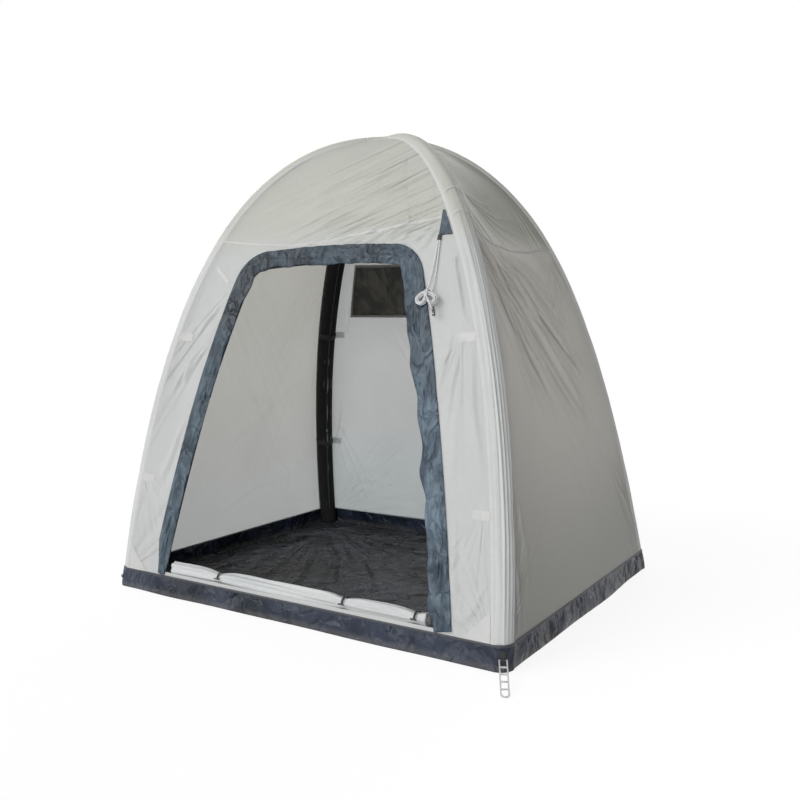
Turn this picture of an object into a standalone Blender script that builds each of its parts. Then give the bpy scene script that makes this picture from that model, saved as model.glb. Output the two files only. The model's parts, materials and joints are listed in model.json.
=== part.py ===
"""Inflatable utility tent: four air tubes meet at a crown and carry a cloth skin over a tub floor.

Metres, +Z up. The origin is the middle of the floor, on the ground, and the doorway faces -Y.
"""

import functools
import math

import bmesh
import bpy
from mathutils import Matrix, Vector

# Overall size of the pitched tent
WIDTH = 2.0
DEPTH = 1.6
AXIS_HEIGHT = 2.014
FRAME_TWIST = math.radians(4.3)
TWIST_SETTLES = 0.75

# Line of a leg, as a curve in the upright plane through its foot and the crown
LEG_LEAN = math.radians(9.1)
LEG_PULL = 1.09
CROWN_PULL = 0.75

# Air tubes, their sleeves and the skin over them
SLEEVE_R = 0.046
SLEEVE_T = 0.0012
AIR_WALL = 0.0008
SKIN_T = 0.002
TOUCH = 0.0003
SKIN_EASE = 0.0006
TUBE_SIDES = 12
FOOT_STRAIGHT = 0.009
HUB_SPAN = 0.078
SLEEVE_SPAN = 0.066
CROWN_SPAN = 0.1
CROWN_RISE = 0.002

# Panels between the legs
PANEL_ROWS = 16
PANEL_COLUMNS = 12
PANEL_DRAW = 0.03
SEAM_ANGLE = math.radians(60)

# Tub floor
RIM_HEIGHT = 0.085
FLOOR_T = 0.0015
TUB_EASE = 0.001

# Doorway in the front wall, measured sideways from the wall's middle
SILL_HEIGHT = 0.105
DOOR_HEAD = 1.46
DOOR_SHARE_SILL = 0.755
DOOR_SHARE_HEAD = 0.60
DOOR_CORNER_R = 0.10
DOOR_CROWN = 0.015
DOOR_STEPS = 14
FLAP_W = 0.068
FLAP_T = 0.002
FLAP_PUFF = 0.005
FLAP_FOOT = 0.094
CUT_BACK = 0.004
CLOTH_LIFT = 0.0015
SLOPE_STEP = 0.01

# Door zip
ZIP_W = 0.024
ZIP_T = 0.0015
SLIDER_W = 0.010
SLIDER_L = 0.016
SLIDER_T = 0.005
SLIDER_REST = 0.135
PULLER_W = 0.007
PULLER_L = 0.034
PULLER_T = 0.0016
PIN_R = 0.0011

# Folded door panel along the sill, its loops and toggles
BUNDLE_END_GAP = 0.0335
BUNDLE_HALF_THICK = 0.024
BUNDLE_HALF_HEIGHT = 0.036
BUNDLE_PINCH = 0.012
BUNDLE_FOLD = 0.0035
BUNDLE_FOLDS = 5
BUNDLE_Z = 0.124
BUNDLE_REST = math.radians(36)
BUNDLE_SNUG = 0.0008
BUNDLE_STATIONS = 32
PINCH_REACH = 0.10
PINCH_FLAT = 0.007
TOGGLE_SHARES = (-0.566, 0.432, 0.931)
TOGGLE_TURN = math.radians(8)
TOGGLE_R = 0.003
TOGGLE_L = 0.026
LOOP_W = 0.008
LOOP_T = 0.0014
LOOP_FROM = math.radians(0)
LOOP_TO = math.radians(235)
MILLIMETRE = 0.001

# Window in the back wall
WINDOW_SHARE = 0.81
WINDOW_LOW = 1.275
WINDOW_HIGH = 1.51
BINDING_W = 0.024
NET_T = 0.0012
NET_LAP = 0.010

# Straps that tie each sleeve to its corner
STRAP_HEIGHTS = (0.52, 1.15)
STRAP_W = 0.026
STRAP_T = 0.0014
STRAP_FROM = math.radians(74)

# Sleeve zip sliders
SLEEVE_SLIDER_REST = 0.60

# Guy point on the front right
GUY_TALL = 0.100
GUY_BASE = 1.545
GUY_SHARE = 0.975
GUY_W = 0.062
GUY_TIP_W = 0.010
GUY_T = 0.0016
PATCH_LIFT = 0.0006
WEB_W = 0.016
WEB_L = 0.022
WEB_T = 0.004

# Guy rope: two hanging strands and a hank
ROPE_D = 0.005
ROPE_TURN = math.radians(22)
HANK_HALF = 0.052
HANK_TURNS = 2
HANK_LAYERS = 4
HANK_STEP = 0.0063
HANK_LAYER_STEP = 0.0058
HANK_WAIST = 0.0030
HANK_LOBE = 0.020
HANK_POINTS = 24
HANK_DROOP = math.radians(50)
HANK_BEND = 0.022
HANK_X = 0.545
HANK_Z = 1.305
STRAND_SPACING = 0.0068
STRAND_LIFT = 0.0050
TIE_TOP = 0.0226
TIE_BOTTOM = 0.0194
TIE_DEPTH = 0.0156
TIE_CORNER_R = 0.009
TIE_SPACING = 0.0070
TIE_TURNS = (0.10, 0.15, 0.20, 0.27, 0.33, 0.39, 0.45, 0.51, 0.57, 0.63, 0.70, 0.77, 0.84, 0.90,
             0.96, 1.02, 1.08, 1.14, 1.20, 1.27)

# Tensioner on the rope
TENSIONER_L = 0.036
TENSIONER_W = 0.012
TENSIONER_T = 0.004
TENSIONER_HOLE_R = 0.0029
TENSIONER_HOLE_Z = 0.0100
TENSIONER_BEND_R = 0.0075

# Ground corners: webbing tabs and the peg ladder
TAB_W = 0.019
TAB_T = 0.003
TAB_L = 0.030
LADDER_W = 0.0315
LADDER_BAR = 0.005
LADDER_T = 0.004
LADDER_CELL = 0.041
LADDER_CELLS = 5
LADDER_YAW = math.radians(-62)
LADDER_LEG = "front_right"
TAB_HEIGHT = 0.058
EYE_R = 0.0054
EYE_BORE_R = 0.0031
EYE_OUT = 0.0042

# Inflation valve, low on the inner face of the front left leg
VALVE_HEIGHT = 0.30
VALVE_HOLE_R = 0.0125
VALVE_BODY_R = 0.0118
VALVE_FLANGE_R = 0.018
VALVE_FLANGE_T = 0.0025
VALVE_OUT = 0.014
VALVE_BORE_R = 0.0070
VALVE_SEAT_R = 0.0040
VALVE_SEAT_T = 0.0022
PLUNGER_R = 0.0058
PLUNGER_STEM_R = 0.0032
PLUNGER_TRAVEL = 0.003
CAP_R = 0.0122
CAP_T = 0.0030
CAP_HINGE_X = 0.0152
CAP_BARREL_R = 0.0018
RUN = 0.0006

# Worked out from the sizes above
SKIN_INNER_R = (SLEEVE_R + SKIN_EASE) / math.cos(math.pi / TUBE_SIDES)
SKIN_R = SKIN_INNER_R + SKIN_T
TUB_R = SKIN_R + TUB_EASE
AIR_R = SLEEVE_R - SLEEVE_T - TOUCH
HUB_R = (SLEEVE_R - SLEEVE_T) * math.cos(math.pi / TUBE_SIDES) - TOUCH
FOOT_X = WIDTH / 2 - TUB_R
FOOT_Y = DEPTH / 2 - TUB_R
FOOT_SPAN = math.hypot(FOOT_X, FOOT_Y)
TUBE_FOOT = FLOOR_T + TOUCH

LEGS = {
    "front_left": (-1, -1),
    "front_right": (1, -1),
    "back_right": (1, 1),
    "back_left": (-1, 1),
}
WALLS = {
    "front": ("front_left", "front_right"),
    "right": ("front_right", "back_right"),
    "back": ("back_right", "back_left"),
    "left": ("back_left", "front_left"),
}

FINISHES = {
    "grey cloth": ((0.62, 0.63, 0.62), 0.75, 0.0),
    "shade cloth": ((0.50, 0.51, 0.50), 0.75, 0.0),
    "blue cloth": ((0.08, 0.13, 0.18), 0.60, 0.0),
    "black cloth": ((0.02, 0.02, 0.022), 0.80, 0.0),
    "tub cloth": ((0.04, 0.045, 0.055), 0.40, 0.0),
    "air tube film": ((0.70, 0.72, 0.74), 0.30, 0.0),
    "net": ((0.06, 0.06, 0.05), 0.85, 0.0),
    "black plastic": ((0.015, 0.015, 0.016), 0.45, 0.0),
    "zip metal": ((0.55, 0.55, 0.56), 0.35, 1.0),
    "clear rubber": ((0.80, 0.82, 0.80), 0.35, 0.0),
    "white rope": ((0.85, 0.85, 0.84), 0.80, 0.0),
    "valve plastic": ((0.10, 0.10, 0.11), 0.40, 0.0),
}


# Scene, collections and materials

for old in list(bpy.data.objects):
    bpy.data.objects.remove(old, do_unlink=True)

PARTS = bpy.data.collections.new("inflatable_tent")
CUTTERS = bpy.data.collections.new("cutters")
bpy.context.scene.collection.children.link(PARTS)
bpy.context.scene.collection.children.link(CUTTERS)


@functools.lru_cache(maxsize=None)
def finish(name):
    """Material of one finish."""
    colour, roughness, metallic = FINISHES[name]
    material = bpy.data.materials.new(name)
    material.use_nodes = True
    shader = material.node_tree.nodes["Principled BSDF"]
    shader.inputs["Base Color"].default_value = (*colour, 1.0)
    shader.inputs["Roughness"].default_value = roughness
    shader.inputs["Metallic"].default_value = metallic
    material.diffuse_color = (*colour, 1.0)
    return material


def add_object(name, mesh, finish_name, smooth=True):
    """Link a mesh as one part with its own material."""
    thing = bpy.data.objects.new(name, mesh)
    PARTS.objects.link(thing)
    mesh.materials.clear()
    mesh.materials.append(finish(finish_name))
    if smooth:
        mesh.shade_smooth()
        mesh.set_sharp_from_angle(angle=math.radians(40))
    return thing


def mesh_from(bm, name):
    """Turn a bmesh into a mesh."""
    mesh = bpy.data.meshes.new(name)
    bm.to_mesh(mesh)
    bm.free()
    return mesh


def thicken(thing, thickness, offset):
    """Give an open surface its thickness."""
    solid = thing.modifiers.new("thickness", "SOLIDIFY")
    solid.thickness = thickness
    solid.offset = offset
    solid.use_even_offset = True


def cut(thing, cutter):
    """Cut one object by another."""
    boolean = thing.modifiers.new("cut " + cutter.name, "BOOLEAN")
    boolean.operation = "DIFFERENCE"
    boolean.solver = "EXACT"
    boolean.object = cutter


def as_cutter(thing):
    """Move an object to the cutters."""
    PARTS.objects.unlink(thing)
    CUTTERS.objects.link(thing)
    thing.hide_render = True
    thing.display_type = "WIRE"
    return thing


def evaluated_mesh(thing, name):
    """Mesh of an object with its modifiers, in world space, with its doubles merged."""
    bpy.context.view_layer.update()
    source = thing.evaluated_get(bpy.context.evaluated_depsgraph_get())
    mesh = bpy.data.meshes.new_from_object(source)
    mesh.name = name
    bm = bmesh.new()
    bm.from_mesh(mesh)
    bmesh.ops.transform(bm, matrix=thing.matrix_world, verts=bm.verts)
    bmesh.ops.remove_doubles(bm, verts=bm.verts, dist=0.00001)
    bm.to_mesh(mesh)
    bm.free()
    bpy.data.objects.remove(thing, do_unlink=True)
    return mesh


def tube_curve(name, points, radius, finish_name, sides_step, caps=True):
    """Round tube through a list of points."""
    curve = bpy.data.curves.new(name, "CURVE")
    curve.dimensions = "3D"
    curve.bevel_depth = radius
    curve.bevel_resolution = sides_step
    curve.use_fill_caps = caps
    spline = curve.splines.new("POLY")
    spline.points.add(len(points) - 1)
    for knot, point in zip(spline.points, points):
        knot.co = (*point, 1.0)
    thing = bpy.data.objects.new(name, curve)
    PARTS.objects.link(thing)
    curve.materials.append(finish(finish_name))
    return thing


def sheet(name, columns, rows, place, thickness, offset, finish_name):
    """Grid of cells with each corner put in its place, then thickened along its normal."""
    bm = bmesh.new()
    bmesh.ops.create_grid(bm, x_segments=columns, y_segments=rows, size=0.5)
    for vert in bm.verts:
        vert.co = place(vert.co.x + 0.5, vert.co.y + 0.5)
    thing = add_object(name, mesh_from(bm, name), finish_name)
    thicken(thing, thickness, offset)
    return thing


def block(name, size, matrix, finish_name, bevel=0.0):
    """Box with its edges rounded, put in its place by a matrix."""
    bm = bmesh.new()
    bmesh.ops.create_cube(bm, size=1.0)
    bmesh.ops.scale(bm, vec=size, verts=bm.verts)
    if bevel:
        bmesh.ops.bevel(bm, geom=bm.edges[:], offset=bevel, segments=1, affect="EDGES", profile=0.5)
    thing = add_object(name, mesh_from(bm, name), finish_name)
    thing.matrix_world = matrix
    return thing


def rod(name, radius, length, matrix, finish_name, sides=16):
    """Cylinder along its local Z, put in its place by a matrix."""
    bm = bmesh.new()
    bmesh.ops.create_cone(bm, cap_ends=True, segments=sides, radius1=radius, radius2=radius, depth=length)
    thing = add_object(name, mesh_from(bm, name), finish_name)
    thing.matrix_world = matrix
    return thing


def turned(name, profile, matrix, finish_name, steps=20):
    """Turned shape: a profile of radius and height spun about its local Z."""
    bm = bmesh.new()
    verts = [bm.verts.new((radius, 0, height)) for radius, height in profile]
    closing = verts[:1] if profile[0][0] > 0 else []
    for first, second in zip(verts, verts[1:] + closing):
        bm.edges.new((first, second))
    thing = add_object(name, mesh_from(bm, name), finish_name)
    screw = thing.modifiers.new("turn", "SCREW")
    screw.steps = steps
    screw.render_steps = steps
    screw.use_merge_vertices = True
    screw.merge_threshold = 0.00001
    screw.use_normal_calculate = True
    thing.matrix_world = matrix
    return thing


def basis(origin, along, up):
    """Matrix with X along one direction and Z as near as can be to another."""
    x_axis = along.normalized()
    y_axis = up.cross(x_axis).normalized()
    z_axis = x_axis.cross(y_axis)
    turn = Matrix((x_axis, y_axis, z_axis)).transposed().to_4x4()
    return Matrix.Translation(origin) @ turn


# Lines of the frame

def leg_profile(t):
    """Span from the crown, height and inward lean of the leg's axis at t from foot to crown."""
    foot = Vector((FOOT_SPAN, 0.0))
    knee = foot + LEG_PULL * Vector((-math.sin(LEG_LEAN), math.cos(LEG_LEAN)))
    shoulder = Vector((CROWN_PULL, AXIS_HEIGHT))
    crown = Vector((0.0, AXIS_HEIGHT))
    r = 1 - t
    point = foot * r ** 3 + knee * 3 * r * r * t + shoulder * 3 * r * t * t + crown * t ** 3
    slope = (knee - foot) * r * r + (shoulder - knee) * 2 * r * t + (crown - shoulder) * t * t
    return point.x, point.y, math.atan2(-slope.x, slope.y)


def solve(measure, target):
    """Value of t at which a rising measure of the profile meets its target."""
    low, high = 0.0, 1.0
    for _ in range(40):
        middle = (low + high) / 2
        if measure(leg_profile(middle)) < target:
            low = middle
        else:
            high = middle
    return (low + high) / 2


def t_at_height(height):
    """Place on a leg at a height."""
    return solve(lambda place: place[1], height)


def t_at_span(span):
    """Place on a leg at a distance from the crown."""
    return solve(lambda place: -place[0], -span)


def twist_at(height):
    """Turn of the frame about the middle at a height."""
    settled = min(max(height / (TWIST_SETTLES * AXIS_HEIGHT), 0.0), 1.0)
    return FRAME_TWIST * math.sin(settled * math.pi / 2)


def leg_frame(leg, t):
    """Point on a leg's axis, with the directions away from the tent's middle and round the tent."""
    span, height, lean = leg_profile(t)
    side_x, side_y = LEGS[leg]
    azimuth = math.atan2(side_y * FOOT_Y, side_x * FOOT_X) + twist_at(height)
    lean *= min(height / 0.3, 1.0)
    away = Vector((math.cos(azimuth), math.sin(azimuth), 0.0))
    around = Vector((-math.sin(azimuth), math.cos(azimuth), 0.0))
    out = away * math.cos(lean) + Vector((0, 0, math.sin(lean)))
    return away * span + Vector((0, 0, height)), out, around


def leg_point(leg, t, angle, radius):
    """Point at an angle round a leg's axis; angle 0 faces away from the tent."""
    centre, out, around = leg_frame(leg, t)
    return centre + radius * (math.cos(angle) * out + math.sin(angle) * around)


ROW_FIRST = t_at_height(RIM_HEIGHT)
ROW_LAST = t_at_span(CROWN_SPAN)
ROW_T = [ROW_FIRST + (ROW_LAST - ROW_FIRST) * row / PANEL_ROWS for row in range(PANEL_ROWS + 1)]


def leg_spot(leg, height, angle, radius):
    """Point round a leg at a height, on the straight stretch between two rows."""
    stations = [0.0] + ROW_T
    heights = [leg_profile(t)[1] for t in stations]
    index = 0
    while index < len(stations) - 2 and heights[index + 1] < height:
        index += 1
    share = (height - heights[index]) / (heights[index + 1] - heights[index])
    low = leg_point(leg, stations[index], angle, radius)
    high = leg_point(leg, stations[index + 1], angle, radius)
    return low.lerp(high, share)


def leg_matrix(leg, height, angle, radius):
    """Frame on a leg's surface: X up the leg, Z away from its axis."""
    origin = leg_spot(leg, height, angle, radius)
    step = SLOPE_STEP
    up = leg_spot(leg, height + step, angle, radius) - origin
    return basis(origin, up, origin - leg_spot(leg, height, angle, 0.0))


def tube_points(leg, end_span):
    """Axis of a leg's tube: upright at the foot and level where it ends at the crown."""
    foot = leg_frame(leg, 0.0)[0]
    points = [foot + Vector((0, 0, TUBE_FOOT)), foot + Vector((0, 0, FOOT_STRAIGHT))]
    points += [leg_frame(leg, t)[0] for t in ROW_T]
    level = points[-1]
    away = Vector((level.x, level.y, 0)).normalized()
    points.append(away * end_span + Vector((0, 0, level.z)))
    return points


HUB_HEIGHT = leg_frame("front_left", ROW_LAST)[0].z


# Faces of the walls

@functools.lru_cache(maxsize=None)
def wall_row(side, row):
    """Both ends of a wall's row and the wall's outward direction there."""
    start, end = WALLS[side]
    t = ROW_T[row]
    first = leg_point(start, t, SEAM_ANGLE, SKIN_R)
    second = leg_point(end, t, -SEAM_ANGLE, SKIN_R)
    above = ROW_T[min(row + 1, PANEL_ROWS)]
    below = ROW_T[max(row - 1, 0)]
    rise = leg_point(start, above, SEAM_ANGLE, SKIN_R) + leg_point(end, above, -SEAM_ANGLE, SKIN_R)
    rise -= leg_point(start, below, SEAM_ANGLE, SKIN_R) + leg_point(end, below, -SEAM_ANGLE, SKIN_R)
    return first, second, (second - first).cross(rise).normalized()


def row_point(side, share, row):
    """Point of a row; share runs from -1 to 1 along it, and the middle is drawn inwards."""
    first, second, out = wall_row(side, row)
    draw = PANEL_DRAW * (1 - share * share) * math.sin(math.pi * row / PANEL_ROWS)
    return first.lerp(second, (share + 1) / 2) - out * draw


def wall_point(side, share, rows_up):
    """Point of a wall's outer face."""
    row = min(int(rows_up), PANEL_ROWS - 1)
    return row_point(side, share, row).lerp(row_point(side, share, row + 1), rows_up - row)


def rows_at_height(side, height):
    """How many rows up a wall's seam reaches a height."""
    heights = [wall_row(side, row)[0].z for row in range(PANEL_ROWS + 1)]
    for row in range(PANEL_ROWS):
        if height < heights[row + 1] or row == PANEL_ROWS - 1:
            return row + (height - heights[row]) / (heights[row + 1] - heights[row])


def half_width(side, height):
    """Half the length of a wall's row at a height."""
    rows_up = rows_at_height(side, height)
    return (wall_point(side, 1, rows_up) - wall_point(side, -1, rows_up)).length / 2


def wall_place(side, sideways, height, lift=0.0):
    """Point beside a wall, lifted off its outer face, from a distance sideways and a height."""
    rows_up = rows_at_height(side, height)
    share = sideways / half_width(side, height)
    point = wall_point(side, share, rows_up)
    step = 0.02
    across = wall_point(side, share + step, rows_up) - wall_point(side, share - step, rows_up)
    rise = wall_point(side, share, rows_up + step) - wall_point(side, share, rows_up - step)
    return point + across.cross(rise).normalized() * lift


def wall_matrix(side, sideways, height, lift):
    """Frame on a wall: X along the wall, Y up it, Z out of it."""
    origin = wall_place(side, sideways, height, lift)
    step = SLOPE_STEP
    along = wall_place(side, sideways + step, height, lift) - origin
    up = wall_place(side, sideways, height + step, lift) - origin
    return basis(origin, along, along.cross(up))


def door_line(offset, low):
    """Points round the doorway from the left foot to the right foot, with their offset outwards."""
    share_drop = (DOOR_SHARE_SILL - DOOR_SHARE_HEAD) / (DOOR_HEAD - SILL_HEIGHT)

    def jamb(height):
        share = DOOR_SHARE_SILL - share_drop * (height - SILL_HEIGHT)
        return share * half_width("front", height)

    step = SLOPE_STEP
    turn_height = DOOR_HEAD - DOOR_CORNER_R
    slope = math.atan2(jamb(turn_height - step) - jamb(turn_height + step), 2 * step)
    turn_height = DOOR_HEAD - DOOR_CORNER_R * (1 - math.sin(slope))
    right = []
    for index in range(DOOR_STEPS):
        height = low + (turn_height - low) * index / DOOR_STEPS
        lean = math.atan2(jamb(height - step) - jamb(height + step), 2 * step)
        right.append((jamb(height) + offset * math.cos(lean), height + offset * math.sin(lean)))
    centre_x = jamb(turn_height) - DOOR_CORNER_R * math.cos(slope)
    centre_z = turn_height - DOOR_CORNER_R * math.sin(slope)
    arc_steps = 6
    for index in range(arc_steps + 1):
        angle = slope + (math.pi / 2 - slope) * index / arc_steps
        reach = DOOR_CORNER_R + offset
        right.append((centre_x + reach * math.cos(angle), centre_z + reach * math.sin(angle)))
    top_steps = 5
    for index in range(1, top_steps + 1):
        x = centre_x * (1 - index / top_steps)
        crown = DOOR_CROWN * (1 - (x / centre_x) ** 2)
        right.append((x, centre_z + DOOR_CORNER_R + offset + crown))
    left = [(-x, z) for x, z in right]
    return left + right[-2::-1]


# Air frame

def close_foot(mesh):
    """Close the lower end of an open tube."""
    bm = bmesh.new()
    bm.from_mesh(mesh)
    rim = [edge for edge in bm.edges if edge.is_boundary and edge.verts[0].co.z < 0.01]
    bmesh.ops.contextual_create(bm, geom=rim)
    bmesh.ops.recalc_face_normals(bm, faces=bm.faces)
    bm.to_mesh(mesh)
    bm.free()


def build_air_frame():
    """Air tubes and their hub: hollow film, open to each other where they are welded."""
    for leg in LEGS:
        curve = tube_curve("air_tube_" + leg, tube_points(leg, HUB_SPAN + TOUCH), AIR_R,
                           "air tube film", TUBE_SIDES // 2 - 2, caps=False)
        mesh = evaluated_mesh(curve, "air_tube_" + leg)
        close_foot(mesh)
        tube = add_object("air_tube_" + leg, mesh, "air tube film")
        thicken(tube, AIR_WALL, -1)
        if leg == "front_left":
            hole = rod("valve hole in tube", VALVE_SEAT_R, 0.03, valve_matrix(AIR_R), "air tube film")
            cut(tube, as_cutter(hole))
    outer = []
    inner = []
    for leg in ("front_left", "front_right"):
        centre, out, around = leg_frame(leg, 1.0)
        along = Vector((-around.y, around.x, 0))
        matrix = basis(Vector((0, 0, HUB_HEIGHT)), Vector((0, 0, 1)), along)
        outer.append(rod("hub arm " + leg, HUB_R, 2 * HUB_SPAN, matrix, "air tube film", TUBE_SIDES))
        inner.append(rod("hub bore " + leg, HUB_R - AIR_WALL, 2.2 * HUB_SPAN, matrix,
                         "air tube film", TUBE_SIDES))
    join = outer[0].modifiers.new("cross", "BOOLEAN")
    join.operation = "UNION"
    join.solver = "EXACT"
    join.object = outer[1]
    for bore in inner:
        cut(outer[0], bore)
    mesh = evaluated_mesh(outer[0], "air_hub")
    for used in outer[1:] + inner:
        bpy.data.objects.remove(used, do_unlink=True)
    add_object("air_hub", mesh, "air tube film")


def build_sleeves():
    """Black sleeves round the air tubes, with a slider on each sleeve's zip."""
    for leg in LEGS:
        curve = tube_curve("sleeve_" + leg, tube_points(leg, SLEEVE_SPAN), SLEEVE_R,
                           "black cloth", TUBE_SIDES // 2 - 2, caps=False)
        sleeve = add_object("sleeve_" + leg, evaluated_mesh(curve, "sleeve_" + leg), "black cloth")
        thicken(sleeve, SLEEVE_T, -1)
        if leg == "front_left":
            hole = rod("valve hole in sleeve", VALVE_HOLE_R, 0.03, valve_matrix(SLEEVE_R), "black cloth")
            cut(sleeve, as_cutter(hole))


def sleeve_slider_lift(leg):
    """How far a slider's middle is from the leg's nominal surface, so that it rests on its sleeve."""
    bpy.context.view_layer.update()
    sleeve = PARTS.objects["sleeve_" + leg].evaluated_get(bpy.context.evaluated_depsgraph_get())
    frame = leg_matrix(leg, SLEEVE_SLIDER_REST, math.pi, SLEEVE_R)
    inward = frame.to_3x3() @ Vector((0, 0, -1))
    surface = []
    for along in (-SLIDER_L / 2, SLIDER_L / 2):
        for across in (-SLIDER_W / 2, 0.0, SLIDER_W / 2):
            start = frame @ Vector((along, across, SLEEVE_R / 2))
            found, place, normal, face = sleeve.ray_cast(start, inward)
            surface.append((frame.inverted() @ place).z)
    return max(surface) + TOUCH + SLIDER_T / 2


def build_sleeve_sliders():
    """Zip sliders on the inner faces of the sleeves."""
    for leg in LEGS:
        reach = SLEEVE_R + sleeve_slider_lift(leg)
        matrix = leg_matrix(leg, SLEEVE_SLIDER_REST, math.pi, reach)
        block("sleeve_zip_slider_" + leg, (SLIDER_L, SLIDER_W, SLIDER_T), matrix, "zip metal", 0.0012)


def build_straps():
    """Straps that hold the sleeves to the corners, at two heights on each leg."""
    names = ("lower_strap_", "upper_strap_")
    columns = 12
    turn = 2 * math.pi - 2 * STRAP_FROM
    radius = (SLEEVE_R + SKIN_EASE) / math.cos(turn / columns / 2)
    for name, height in zip(names, STRAP_HEIGHTS):
        for leg in LEGS:
            def place(across, up, leg=leg, height=height):
                level = height + STRAP_W * (up - 0.5)
                return leg_spot(leg, level, STRAP_FROM + turn * across, radius)

            sheet(name + leg, columns, 1, place, STRAP_T, 1, "black cloth")


# Skin

def build_strips():
    """Corner strips: the cloth that wraps each tube, seam to seam."""
    edge = SEAM_ANGLE - 2 * TOUCH / SKIN_R
    for leg in LEGS:
        def place(across, up, leg=leg):
            row = up * PANEL_ROWS
            t = ROW_T[round(row)]
            return leg_point(leg, t, edge * (2 * across - 1), SKIN_R)

        sheet("corner_strip_" + leg, 4, PANEL_ROWS, place, SKIN_T, -1, "grey cloth")


def build_walls():
    """Four wall panels, drawn in slightly between the legs."""
    walls = {}
    for side in WALLS:
        def place(across, up, side=side):
            return row_point(side, 2 * across - 1, round(up * PANEL_ROWS))

        colour = "grey cloth" if side == "front" else "shade cloth"
        walls[side] = sheet(side + "_wall", PANEL_COLUMNS, PANEL_ROWS, place, SKIN_T, -1, colour)
    cut(walls["front"], doorway_cutter())
    cut(walls["back"], window_cutter())


def outline_cutter(name, side, outline, toward, away):
    """Prism that cuts an outline, given sideways and up a wall, straight through along Y."""
    bm = bmesh.new()
    verts = []
    for sideways, height in outline:
        point = wall_place(side, sideways, height)
        verts.append(bm.verts.new((point.x, toward, point.z)))
    face = bm.faces.new(verts)
    grown = bmesh.ops.extrude_face_region(bm, geom=[face])
    moved = [item for item in grown["geom"] if isinstance(item, bmesh.types.BMVert)]
    bmesh.ops.translate(bm, vec=(0, away - toward, 0), verts=moved)
    bmesh.ops.recalc_face_normals(bm, faces=bm.faces)
    return as_cutter(add_object(name, mesh_from(bm, name), "grey cloth", smooth=False))


def doorway_cutter():
    """The doorway's opening, a little wider than the flap's inner edge."""
    outline = door_line(CUT_BACK, SILL_HEIGHT)
    return outline_cutter("doorway", "front", outline, -DEPTH, -DEPTH / 10)


def window_outline(grow):
    """Window outline, sideways and up the back wall."""
    corners = []
    for sign, height in ((-1, WINDOW_LOW), (1, WINDOW_LOW), (1, WINDOW_HIGH), (-1, WINDOW_HIGH)):
        level = height + (grow if height == WINDOW_HIGH else -grow)
        corners.append((sign * (WINDOW_SHARE * half_width("back", height) + grow), level))
    return corners


def window_cutter():
    """The window's opening."""
    return outline_cutter("window opening", "back", window_outline(0.0), DEPTH / 10, DEPTH)


def ring_loop():
    """Edge of the skin where strips and walls stop short of the crown."""
    loop = []
    steps = 4
    order = ("front_left", "front_right", "back_right", "back_left")
    for index, leg in enumerate(order):
        for step in range(steps + 1):
            angle = SEAM_ANGLE * (2 * step / steps - 1)
            loop.append(leg_point(leg, ROW_LAST, angle, SKIN_R))
        side = ("front", "right", "back", "left")[index]
        loop.append(row_point(side, 0.0, PANEL_ROWS))
    return loop


def build_crown():
    """Crown patch over the crossing of the tubes."""
    peak = Vector((0, 0, AXIS_HEIGHT + SKIN_R + CROWN_RISE))
    bm = bmesh.new()
    inset = 1 - TOUCH * 2 / CROWN_SPAN
    shares = (inset, 0.75, 0.5, 0.25)
    rings = []
    for share in shares:
        ring = []
        for point in ring_loop():
            height = peak.z - (peak.z - point.z) * share * share
            ring.append(bm.verts.new((point.x * share, point.y * share, height)))
        rings.append(ring)
    for outer, inner in zip(rings, rings[1:]):
        count = len(outer)
        for index in range(count):
            after = (index + 1) % count
            bm.faces.new((outer[index], outer[after], inner[after], inner[index]))
    bmesh.ops.contextual_create(bm, geom=rings[-1])
    bmesh.ops.poke(bm, faces=[face for face in bm.faces if len(face.verts) > 4])
    bmesh.ops.recalc_face_normals(bm, faces=bm.faces)
    patch = add_object("crown_patch", mesh_from(bm, "crown_patch"), "grey cloth")
    thicken(patch, SKIN_T, -1)


def build_groundsheet():
    """Tub floor: a flat sheet whose upstand meets the skin's lower edge."""
    steps = 4
    low = []
    high = []
    for leg in LEGS:
        for step in range(steps + 1):
            angle = SEAM_ANGLE * (2 * step / steps - 1)
            low.append(leg_point(leg, 0.0, angle, TUB_R))
            high.append(leg_point(leg, ROW_FIRST, angle, TUB_R) - Vector((0, 0, TOUCH)))
    bm = bmesh.new()
    floor = [bm.verts.new(point) for point in low]
    bm.faces.new(floor)
    grown = bmesh.ops.extrude_edge_only(bm, edges=bm.edges[:])
    rim = [item for item in grown["geom"] if isinstance(item, bmesh.types.BMVert)]
    for vert in rim:
        nearest = min(range(len(low)), key=lambda index: (low[index] - vert.co).length)
        vert.co = high[nearest]
    bmesh.ops.recalc_face_normals(bm, faces=bm.faces)
    if sum(face.normal.z * face.calc_area() for face in bm.faces) > 0:
        bmesh.ops.reverse_faces(bm, faces=bm.faces)
    tub = add_object("groundsheet", mesh_from(bm, "groundsheet"), "tub cloth")
    thicken(tub, FLOOR_T, -1)


# Doorway

def door_sheet(name, inner, outer, low, columns, lift, thickness, offset, finish_name):
    """Band that follows the doorway between two offsets from its edge."""
    outer_line = door_line(outer, low)
    inner_line = door_line(inner, low)
    last = len(outer_line) - 1

    def place(across, along):
        index = round(along * last)
        x = outer_line[index][0] * (1 - across) + inner_line[index][0] * across
        z = outer_line[index][1] * (1 - across) + inner_line[index][1] * across
        return wall_place("front", x, z, lift(across))

    return sheet(name, columns, last, place, thickness, offset, finish_name)


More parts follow.
